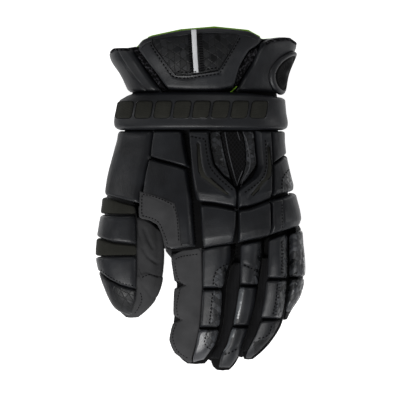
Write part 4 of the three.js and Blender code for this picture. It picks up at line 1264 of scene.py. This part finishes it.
# Plan region test, for finishes and reliefs that a plan outline bounds
def rightOf(line, column, row):
    points = smoothLine(line, 6)
    if points[0][1] > points[-1][1]:
        points = points[::-1]
    if row <= points[0][1]:
        return column > points[0][0]
    for (ax, ay), (bx, by) in zip(points, points[1:]):
        if ay <= row <= by and by > ay:
            return column > mix(ax, bx, (row - ay) / (by - ay))
    return column > points[-1][0]


# Plain raised bars in a row along the wrist band; each has its middle, half width and half height
bandLook = {"bars": 8, "first": 124.5, "pitch": 19.2, "row": 109.6, "halfWide": 7.8, "halfTall": 8.2,
            "slant": -0.18, "barHeight": 1.1, "barCorner": 1.6, "barSlope": 0.8}
bandBars = [(bandLook["first"] + bandLook["pitch"] * i, bandLook["row"], bandLook["halfWide"],
             bandLook["halfTall"]) for i in range(bandLook["bars"])]


# Height of the bars over a plan point
def raisedBars(column, row):
    best = 0.0
    for middle, centre, halfWide, halfTall in bandBars:
        slant = (row - centre) * bandLook["slant"]
        dx = max(abs(column - middle - slant) - halfWide + bandLook["barCorner"], 0)
        dy = max(abs(row - centre) - halfTall + bandLook["barCorner"], 0)
        away = math.hypot(dx, dy) - bandLook["barCorner"]
        best = max(best, 1 - smooth(away / bandLook["barSlope"] + 0.5))
    return best * bandLook["barHeight"]


pads = {}
padMeshes = []
for name, spec in padSpecs.items():
    pads[name] = Pad(name, {**padDefaults, **spec})
    padMeshes.append(pads[name].make())
print("pads", len(pads), sum(len(piece.data.polygons) for piece in padMeshes))

# Where the lining ends at its rim, the hand at the knuckles, and the hand at the thumb
rimLine = [(100, 62), (108.5, 56), (109, 53), (113, 49), (130, 46.5), (135, 47), (143, 39.5), (150, 36.8),
           (180, 30.8), (215, 28), (250, 31.3), (264, 38.6), (270, 39), (290, 37.2), (294, 39.5), (298, 45),
           (306, 52)]
knuckleLine = [(80, 262), (165, 251.5), (200, 249), (234, 243.5), (262, 239.8), (273, 236.3), (320, 222.6)]
thumbLine = [(80, 190), (104, 196.3), (120, 200.3), (138.9, 204.8), (139.3, 218), (142, 219.6), (150, 220.6),
             (158, 225), (163, 235), (165.5, 251)]


def rowOn(line, column):
    if column <= line[0][0]:
        return line[0][1]
    for (ax, ay), (bx, by) in zip(line, line[1:]):
        if column <= bx:
            return mix(ay, by, (column - ax) / (bx - ax))
    return line[-1][1]


def handEnd(column):
    return rowOn(thumbLine, column) if column < 165.5 else rowOn(knuckleLine, column)


# Row at which a form, followed along one angle, crosses a plan line
def crossing(form, angle, line, low, high):
    for _ in range(22):
        middle = (low + high) / 2
        if middle < line(form.columnAt(angle, middle)):
            low = middle
        else:
            high = middle
    return (low + high) / 2


# Each stall starts a little before the line where the hand ends
def stallStart(line):
    return lambda column: rowOn(line, column) - 2.5


carrierSpecs = {
    "hand_shell": {"form": "hand", "finish": "shell_black", "sides": 150, "rows": 110, "end": handEnd,
                   "first": 92, "open": True},
    "cuff_lining": {"form": "cuff", "finish": ("lining_green", "shell_black"), "sides": 130, "rows": 40,
                    "open": True, "start": lambda column: rowOn(rimLine, column), "first": 27, "last": 92.6},
    "thumb_stall": {"form": "thumb", "finish": "palm_leather", "sides": 96, "rows": 96,
                    "start": stallStart(thumbLine), "creases": True},
}
for name, sides, rows in (("index", 72, 90), ("middle", 72, 90), ("ring", 72, 90), ("little", 64, 80)):
    carrierSpecs[name + "_stall"] = {"form": name, "finish": "shell_black", "sides": sides, "rows": rows,
                                     "start": stallStart(knuckleLine)}

# Folds and seams of the soft side of the thumb, as plan lines with width and depth in millimetres
thumbOverlay = [(139.5, 276), (150, 272.5), (161.5, 277)]
thumbCreases = [
    ([(149, 229), (153, 239), (157.5, 248)], 1.5, 1.1),
    ([(147, 249), (153, 257), (160.5, 262.5)], 1.6, 1.3),
    ([(142, 233), (146, 243), (150, 250)], 1.4, 0.7),
    (thumbOverlay, 0.9, 0.9),
    ([(146, 285), (152, 292), (155, 298)], 1.6, 0.6),
]


# Depth of the folds at a plan point, less the overlay's thickness
def creaseDrop(column, row):
    drop = 0.0
    for line, width, depth in thumbCreases:
        away = distanceTo((column, row), line)
        drop += depth * math.exp(-(away / width) ** 2)
    if row > rowOn(thumbOverlay, column):
        drop -= carrierLook["overlay"]
    return drop


carrierLook = {"overlay": 0.9, "tipWall": 11, "tipPower": 1.25, "unevenness": 0.1, "sunk": 1.6,
               "sunkRows": 3.5, "tipBulge": 0.6}


# Hollow carrier: outer and inner skins joined at the open ends, the tip of a stall closed
def makeCarrier(name, spec):
    form = forms[spec["form"]]
    sides = spec["sides"]
    count = spec["rows"]
    first = spec.get("first", form.first)
    last = spec.get("last", form.last)
    isOpen = spec.get("open", False)
    angles = [2 * math.pi * i / sides for i in range(sides)]
    starts = [crossing(form, angle, spec["start"], first, last) if "start" in spec else first
              for angle in angles]
    ends = [crossing(form, angle, spec["end"], first, form.last) if "end" in spec else last
            for angle in angles]
    vertices = []
    for inner in (0, 1):
        for k in range(count + 1):
            t = k / count
            t = t if isOpen else 1 - (1 - t) ** carrierLook["tipPower"]
            for i, angle in enumerate(angles):
                reach = ends[i] - (carrierLook["tipWall"] if inner and not isOpen else 0)
                row = mix(starts[i], reach, t)
                depth = form.skinDepth(angle, row)
                if inner:
                    depth += build["wall"]
                else:
                    if math.sin(angle) > -0.6:
                        depth += carrierLook["unevenness"] * (1 + swell(angle * 30, row, 5))
                    if not isOpen:
                        rise = smooth((row - starts[i]) / carrierLook["sunkRows"])
                        depth += carrierLook["sunk"] * (1 - rise)
                    if spec.get("creases") and math.sin(angle) > 0:
                        depth += creaseDrop(form.columnAt(angle, row), row)
                vertices.append(form.point(angle, row, depth, build["wall"] if inner else 0.0))
    faces = []
    ring = (count + 1) * sides
    for inner in (0, 1):
        for k in range(count):
            low = inner * ring + k * sides
            around = ringFaces(low, low + sides, sides)
            faces += around if inner else [face[::-1] for face in around]
    for k in ((0, count) if isOpen else (0,)):
        around = ringFaces(k * sides, ring + k * sides, sides)
        faces += [face[::-1] for face in around] if k else around
    if not isOpen:
        for inner in (0, 1):
            low = inner * ring + count * sides
            centre = sum((vertices[low + i] for i in range(sides)), Vector()) / sides
            centre.y -= 0.0 if inner else carrierLook["tipBulge"]
            vertices.append(centre)
            for i in range(sides):
                j = (i + 1) % sides
                face = (low + i, low + j, len(vertices) - 1)
                faces.append(face if inner else tuple(reversed(face)))
    marks = None
    if not isinstance(spec["finish"], str):
        inside = range(count * sides, 2 * count * sides + sides)
        marks = [int(i not in inside) for i in range(len(faces))]
    return makePiece(name + "_skin", vertices, facesOut(vertices, faces), spec["finish"], [name], marks)


carriers = {name: makeCarrier(name, spec) for name, spec in carrierSpecs.items()}
print("carriers", len(carriers))

# Round badge: plain raised rim and ribbed disc; rings from rimFrom on have the rim's finish
badgeLook = {"angle": 0.24, "halfAngle": 0.42, "row": 73, "halfRows": 22, "height": 3.6, "sides": 96,
             "rimFrom": 7, "ribs": 24, "ribHeight": 0.06, "ribsFrom": 0.2, "ribsTo": 0.56}
badgeProfile = [(0.0, 0.5), (0.3, 0.5), (0.55, 0.5), (0.6, 0.62), (0.64, 0.62), (0.68, 0.5), (0.74, 0.5),
                (0.79, 0.92), (0.83, 1.0), (0.88, 1.0), (0.93, 0.9), (0.97, 0.6), (0.985, 0.3), (0.985, 0.02)]


def badgePoint(radius, turn, lift):
    angle = badgeLook["angle"] + badgeLook["halfAngle"] * radius * math.cos(turn)
    row = badgeLook["row"] + badgeLook["halfRows"] * radius * math.sin(turn)
    return forms["cuff"].point(angle, row, -build["seat"] - badgeLook["height"] * lift)


def makeBadge():
    sides = badgeLook["sides"]
    vertices = [badgePoint(0, 0, badgeProfile[0][1])]
    faces = []
    for radius, lift in badgeProfile[1:]:
        for i in range(sides):
            turn = 2 * math.pi * i / sides
            isRibbed = badgeLook["ribsFrom"] < radius < badgeLook["ribsTo"]
            rib = badgeLook["ribHeight"] * math.sin(turn * badgeLook["ribs"]) if isRibbed else 0.0
            vertices.append(badgePoint(radius, turn, lift + rib))
    for k in range(len(badgeProfile) - 1):
        for i in range(sides):
            j = (i + 1) % sides
            low = 1 + (k - 1) * sides
            if k == 0:
                faces.append((0, 1 + i, 1 + j))
            else:
                faces.append((low + i, low + sides + i, low + sides + j, low + j))
    vertices.append(badgePoint(0, 0, 0.02))
    low = 1 + (len(badgeProfile) - 2) * sides
    faces += [(len(vertices) - 1, low + (i + 1) % sides, low + i) for i in range(sides)]
    disc = badgeLook["rimFrom"] * sides
    marks = [int(disc < i < len(faces) - sides) for i in range(len(faces))]
    finish = ("badge_black", "leather_charcoal")
    faces = facesOut(vertices, faces)
    return makePiece("cuff_badge_skin", vertices, faces, finish, ["cuff_badge"], marks)


badge = makeBadge()


# Everything made so far as one surface, on which threads, ribs and piping are laid from above
def surfaceOf(pieces):
    vertices = []
    faces = []
    for piece in pieces:
        start = len(vertices)
        vertices += [vertex.co / metre for vertex in piece.data.vertices]
        faces += [[start + i for i in polygon.vertices] for polygon in piece.data.polygons]
    return BVHTree.FromPolygons(vertices, faces)


topSurface = surfaceOf(padMeshes + list(carriers.values()) + [badge])
above = 120.0  # height in millimetres from which things are laid on the surface


def planPoint(column, row, height=above):
    return Vector((planX(column) + plan["shiftX"], planY(row) + shiftY, height))


# Point and normal of the surface under a plan point
def dropOn(column, row):
    hit, normal = topSurface.ray_cast(planPoint(column, row), Vector((0, 0, -1)))[:2]
    return hit and (hit, normal if normal.z > 0 else -normal)


# Path over the surface along a plan line, in millimetres, raised along the surface's normals
def laidPath(points, perSpan=24, bend=0.8, lift=0.0):
    path = [dropOn(column, row) for column, row in smoothLine(points, perSpan, bend)]
    return [(place[0] + place[1] * lift, place[1]) for place in path if place]


# Places evenly spaced from one plan point to another
def rungs(first, last, count):
    return [(mix(first[0], last[0], k / (count - 1)), mix(first[1], last[1], k / (count - 1)))
            for k in range(count)]


stitches = Bundle()
# Seams of thread in plan columns and rows, as they run over the pads
seams = {
    "inset left": [(150.6, 41), (151.2, 46), (158.3, 56.5), (172.6, 76.3), (186, 78.4), (201, 76.5),
                   (219.5, 74)],
    "inset right": [(219.5, 74), (226.3, 62), (232.8, 51), (240.6, 37)],
    "inset inside": [(177, 72), (188, 72.6), (200, 71), (217, 68)],
    "patch top": [(142.3, 194), (155, 196.9), (165, 200.7), (172.6, 204.9)],
    "patch right": [(172.6, 204.9), (176.1, 212.5), (177.8, 225), (179, 242)],
    "patch bottom": [(142, 215.6), (151, 217.8), (159, 222.6), (164.3, 234), (167.6, 244)],
    "patch left": [(142.3, 194), (141.8, 205), (142, 215.6)],
    "chevron top": [(190.5, 136.6), (205, 139.4)],
    "chevron left wing": [(205.3, 139.5), (206.3, 150), (209.7, 166.5), (219.4, 178.6), (233, 190.5)],
    "chevron right wing": [(265, 138), (266.2, 152), (266, 168), (260.8, 180.2), (243, 193.8)],
    "channel back": [(185, 133), (187.5, 152), (190, 172), (192.4, 196), (194.3, 220), (196, 244)],
    "knuckle seam": [(281.9, 203), (282.1, 215), (282.3, 229)],
    "index pad 1": [(228, 263.8), (220, 267.7), (214.7, 274), (212.8, 286)],
    "index pad 2": [(212.6, 292.5), (211.3, 308), (209.4, 325)],
    "index pad 3": [(206.6, 333), (204.4, 343), (207.4, 348), (211, 350)],
    "index side": [(174.6, 261), (176.8, 276), (181, 283.5)],
    "index side top": [(174.8, 259.6), (182, 256.6), (198.5, 254)],
    "index side 2": [(180.2, 288.6), (178.4, 296), (176.7, 306), (177.4, 314.6), (179.8, 318.2)],
    "index side 3": [(176.4, 324.5), (173, 333), (173, 341), (176.3, 350), (181.5, 355.4), (187.8, 358.9)],
    "middle pad 1": [(242.5, 264.8), (249, 267.3), (257.5, 272.3)],
    "middle pad 3": [(223, 355.6), (229, 353.9), (238.2, 349.2)],
    "outer pad": [(293, 166.2), (286, 172.5), (282.4, 178.5), (281.8, 193)],
    "ring pad 1": [(281.6, 240), (281.9, 258), (281.5, 275)],
    "ring pad 2": [(277.4, 283), (276, 300), (272.8, 316)],
    "ring pad 3": [(272, 325), (269.4, 334.4), (264, 338), (257, 339)],
    "thumb cap": [(99.5, 269.5), (110.5, 277.6), (120.6, 282.6), (134.5, 286.5)],
    "thumb overlay": [(140.5, 278.2), (150, 274.8), (159, 278.6)],
    "thumb side": [(140, 292), (141.8, 300), (138, 309), (134, 314.5)],
    "gusset top": [(234.8, 265.3), (237.6, 264.3)],
}
stitchLook = {"pitch": 3.7, "length": 2.5, "radius": 0.78, "lift": -0.15}
fineLook = {"pitch": 3.2, "length": 2.1, "radius": 0.5, "lift": 0.0, "ladderRadius": 0.42}
for name, points in seams.items():
    isFine = name.startswith(("patch", "index side", "thumb", "knuckle"))
    sewPath(stitches, laidPath(points), fineLook if isFine else stitchLook)
# Ladder seams between the pads of neighbouring fingers, each with its ends, reach and number of threads
ladderSeams = [((230.6, 246), (230.8, 261), 5.0, 6), ((281.2, 241), (281.4, 276), 2.6, 12),
               ((278.6, 284), (274.6, 315), 2.4, 10), ((236.4, 248), (236.4, 262), 2.0, 5)]
for first, last, wide, count in ladderSeams:
    for x, y in rungs(first, last, count):
        ends = [place[0] for place in laidPath([(x, y + 0.3), (x + wide, y - 0.3)], 1)]
        stitches.spindle(ends[0], ends[-1], fineLook["ladderRadius"])
stitches.make("seam_threads", "thread_dark")
print("stitches", len(stitches.faces))

# Ladder of short ribs along both sides of the lace
ribs = Bundle()
ribCount = 16
for first, last, wide in (((187.8, 35.5), (190.4, 71.5), 3.4), ((198, 35.5), (200.2, 71), 3.8)):
    for x, y in rungs(first, last, ribCount):
        ribs.bar(laidPath([(x, y + 0.25), (x + wide, y - 0.25)], 5, lift=0.35), 1.3, 1.4, 8)
ribs.make("lace_ladder", "gusset_black")

# Piping sewn along the edges of the vent and at the point of the V, each with its width
piping = Bundle()
pipes = [
    ([(237.3, 131.8), (239.6, 140)], 0.9),
    ([(243, 131.8), (247, 142), (250, 160), (249, 169), (243, 180), (240.8, 187)], 1.1),
    ([(224.8, 132), (228, 150), (231.5, 165), (236.6, 184)], 0.9),
    ([(242.3, 171), (239, 179), (236.8, 186)], 0.9),
    ([(234.6, 208.6), (236.6, 210.2), (239, 208.8)], 1.2),
]
for points, width in pipes:
    piping.bar(laidPath(points, lift=0.3), width, width * 0.8, 8)
piping.make("vent_piping", "piping_grey")

# Cloth between neighbouring fingers and in the crotch of the thumb: plan points with height, then widths
webs = {
    "finger_webs": ("gusset_black", [
        ([(234.4, 238, 15), (233.4, 252, 15), (231.4, 266, 14)], [9.0, 8.0, 6.0]),
        ([(226, 318, 10), (221, 336, 8), (215.4, 350, 6), (211.5, 361, 4)], [5.0, 7.0, 9.0, 7.0]),
        ([(265.8, 234, 15), (264.6, 248, 15), (263.4, 262, 14)], [9.0, 8.0, 6.0]),
        ([(250, 322, 10), (247, 336, 8), (243.4, 348, 6), (240.6, 357, 4)], [3.0, 5.0, 7.0, 5.0]),
        ([(288, 232, 13), (288, 262, 12), (286.5, 300, 9)], [6.0, 6.0, 4.0]),
    ]),
    "thumb_web": ("palm_leather", [
        ([(140, 223, 12), (151, 224.5, 12), (159, 230, 12), (164, 239, 11), (166.5, 248, 10)],
         [9.0, 8.0, 8.0, 7.0, 5.0]),
        ([(167, 243, 14), (169.6, 250, 14), (174.5, 258.5, 13)], [6.0, 8.0, 5.0]),
    ]),
    "thumb_welt": ("leather_charcoal", [([(138.2, 199, 17), (138.4, 210, 17), (138.4, 221, 16)], [4.5] * 3)]),
}
webThickness = 9.0
for name, (finish, strips) in webs.items():
    bundle = Bundle()
    for points, widths in strips:
        path = [(planPoint(column, row, height), Vector((0, 0, 1))) for column, row, height in points]
        bundle.bar(path, widths, webThickness, 16)
    bundle.make(name, finish)

# Leather that closes the step from the hand down to the thumb, along the edge of the patch
crotch = Bundle()
crotchLine = [(139.8, 206), (140.4, 217), (149.8, 219.3), (157.8, 223.8), (163, 234.5), (166, 248),
              (170, 253), (173, 256.5)]
wallPoints = []
high = 30.0
lowest = 6.0
for column, row in smoothLine(crotchLine, 5):
    handSide = dropOn(column + 2.0, row - 1.6)
    thumbSide = dropOn(column - 2.2, row + 1.8)
    high = handSide[0].z - 1.2 if handSide else high
    low = max(min(thumbSide[0].z - 1.0 if thumbSide else lowest, high - 4.0), lowest)
    place = planPoint(column, row)
    wallPoints.append((place.x, place.y, low, high))
crotch.wall(wallPoints, 1.8)
crotch.make("thumb_crotch", "palm_leather")

# Dark cord round each raised bar of the band: painted shade at the foot of the bar
barShadeCords = Bundle()
corners = ((-1, -0.75), (-0.75, -1), (0.75, -1), (1, -0.75), (1, 0.75), (0.75, 1), (-0.75, 1), (-1, 0.75))
beyond = 0.3
for middle, centre, halfWide, halfTall in bandBars:
    line = [(middle + dx * (halfWide + beyond) + bandLook["slant"] * dy * halfTall,
             centre + dy * (halfTall + beyond)) for dx, dy in corners]
    barShadeCords.bar(laidPath(line + line[:1], 4, 0.3, 0.05)[:-1], 0.8, 0.5, 6, True)
barShadeCords.make("band_bar_painted_shade", "thread_dark")

# Inlays of the grooves of the V-shaped pad: olive strip with a dark edge
inlays = [
    ([(198.3, 144), (199.3, 158), (201, 170), (204, 175.5), (212, 183), (221, 189.5), (228, 194.5)],
     [2.6, 3.4, 4.8, 6.2, 5.4, 3.6, 1.4]),
    ([(268, 147), (269, 158), (269.6, 168), (268.3, 175), (262, 182.6), (256.5, 190), (252, 195.5)],
     [2.0, 2.8, 4.0, 5.2, 4.4, 3.0, 1.2]),
]
for part, extra, lift, finish in (("edge", 1.7, 0.2, "thread_dark"), ("inlay", 0.0, 0.5, "strap_olive")):
    bundle = Bundle()
    for points, widths in inlays:
        bundle.bar(laidPath(points, 1, lift=lift), [width + extra for width in widths], 0.8, 12)
    bundle.make("groove_" + part, finish)

# Dark cord round the patterned panel of the cuff
insetEdge = Bundle()
for points in ([(152.6, 39.6), (153, 44.6), (160.4, 55), (175.2, 74.4), (176.6, 75.2), (188, 75.4), (200, 74),
                (217, 71.2)], [(217, 71.2), (218.8, 70), (223.8, 62), (231, 50.5), (238.8, 35)]):
    insetEdge.bar(laidPath(points, 8, lift=0.1), 1.0, 0.8, 8)
insetEdge.make("inset_edge", "thread_dark")

# Binding round the cuff's rim, folded over each panel's free edge: pad, inset, start, end, width
bindings = {
    "wing_binding": ("knit_black", [("cuff_thumb_wing", 1.4, 0.3, 0.98, 3.0),
                                    ("cuff_outer_wing", 1.4, 0.04, 0.86, 3.0)]),
    "cuff_binding": ("leather_charcoal", [("cuff_centre_pad", 2.6, 0.03, 0.97, 5.0)]),
}
bindingHeight = 1.5
for name, (finish, strips) in bindings.items():
    bundle = Bundle()
    for pad, inset, start, end, width in strips:
        path = [(point + normal * (bindingHeight / 4), normal)
                for point, normal in pads[pad].edgePath(inset, start, end)]
        bundle.bar(path, width, bindingHeight, 12)
    bundle.make(name, finish)

# Green cloth of the lining turned over the rim, and a sliver of it between wing and centre pad
rim = Bundle()
cuffForm = forms["cuff"]
rimPath = []
rimPoints = 120
for k in range(rimPoints):
    column = mix(146, 262, k / (rimPoints - 1))
    row = rowOn(rimLine, column) - 0.3
    angle = cuffForm.angleAt(column, row)
    depth = cuffForm.paddingAt(angle, row)
    rimPath.append((cuffForm.point(angle, row, depth * 0.55), Vector((0, 0.4, 1)).normalized()))
rim.bar(rimPath, 1.9, 2.2, 10)
rim.bar(laidPath([(230.8, 92.2), (233.6, 89.4), (236.8, 86.2)], 4, lift=0.4), 1.2, 0.9, 8)
rim.make("lining_turned_edge", "lining_green")

# Floor, light and camera: pale seamless ground seen straight from above
stage = {"floor": shade(250, 250, 250), "glow": 0.9, "world": shade(244, 244, 246), "worldStrength": 0.24,
         "size": 6.0, "level": -0.0006}
floorMesh = bpy.data.meshes.new("floor")
half = stage["size"] / 2
low = stage["level"]
corners = [(-half, -half, low), (half, -half, low), (half, half, low), (-half, half, low)]
floorMesh.from_pydata(corners, [], [(0, 1, 2, 3)])
floor = addObject("floor", floorMesh)
floorFinish = Finish("floor", "floor")
floorFinish.set(Base_Color=stage["floor"], Roughness=0.9)
floorFinish.set(Emission_Color=stage["floor"], Emission_Strength=stage["glow"])
floorMesh.materials.append(floorFinish.material)
world = bpy.data.worlds.new("studio")
world.use_nodes = True
world.node_tree.nodes["Background"].inputs["Color"].default_value = stage["world"]
world.node_tree.nodes["Background"].inputs["Strength"].default_value = stage["worldStrength"]
bpy.context.scene.world = world

lamps = {
    "front": {"at": (-0.25, -1.1, 0.8), "size": 0.5, "watts": 11.0},
    "left": {"at": (-1.1, 0.1, 0.75), "size": 0.5, "watts": 2.4},
    "right": {"at": (1.1, -0.2, 0.6), "size": 0.5, "watts": 2.0},
    "back": {"at": (0.1, 1.1, 1.0), "size": 0.8, "watts": 2.0},
}
for name, lamp in lamps.items():
    data = bpy.data.lights.new(name, "AREA")
    data.shape = "DISK"
    data.size = lamp["size"]
    data.energy = lamp["watts"]
    light = addObject(name, data)
    light.location = lamp["at"]
    light.rotation_euler = (Vector((0, 0, 0.03)) - Vector(lamp["at"])).to_track_quat("-Z", "Y").to_euler()

# One pixel of the 400 of the photograph is one column or row of the plan drawing
view = {"height": 8.0, "focusHeight": 0.045, "pixels": 400, "sensor": 36.0}
camera = bpy.data.cameras.new("camera")
camera.sensor_width = view["sensor"]
span = view["pixels"] * (columnStep + rowStep) / 2 * metre
camera.lens = view["sensor"] * (view["height"] - view["focusHeight"]) / span
cameraObject = addObject("camera", camera)
cameraObject.location = (plan["shiftX"] * metre, shiftY * metre, view["height"])
bpy.context.scene.camera = cameraObject
bpy.context.scene.view_settings.view_transform = "Standard"
print("stage ready")
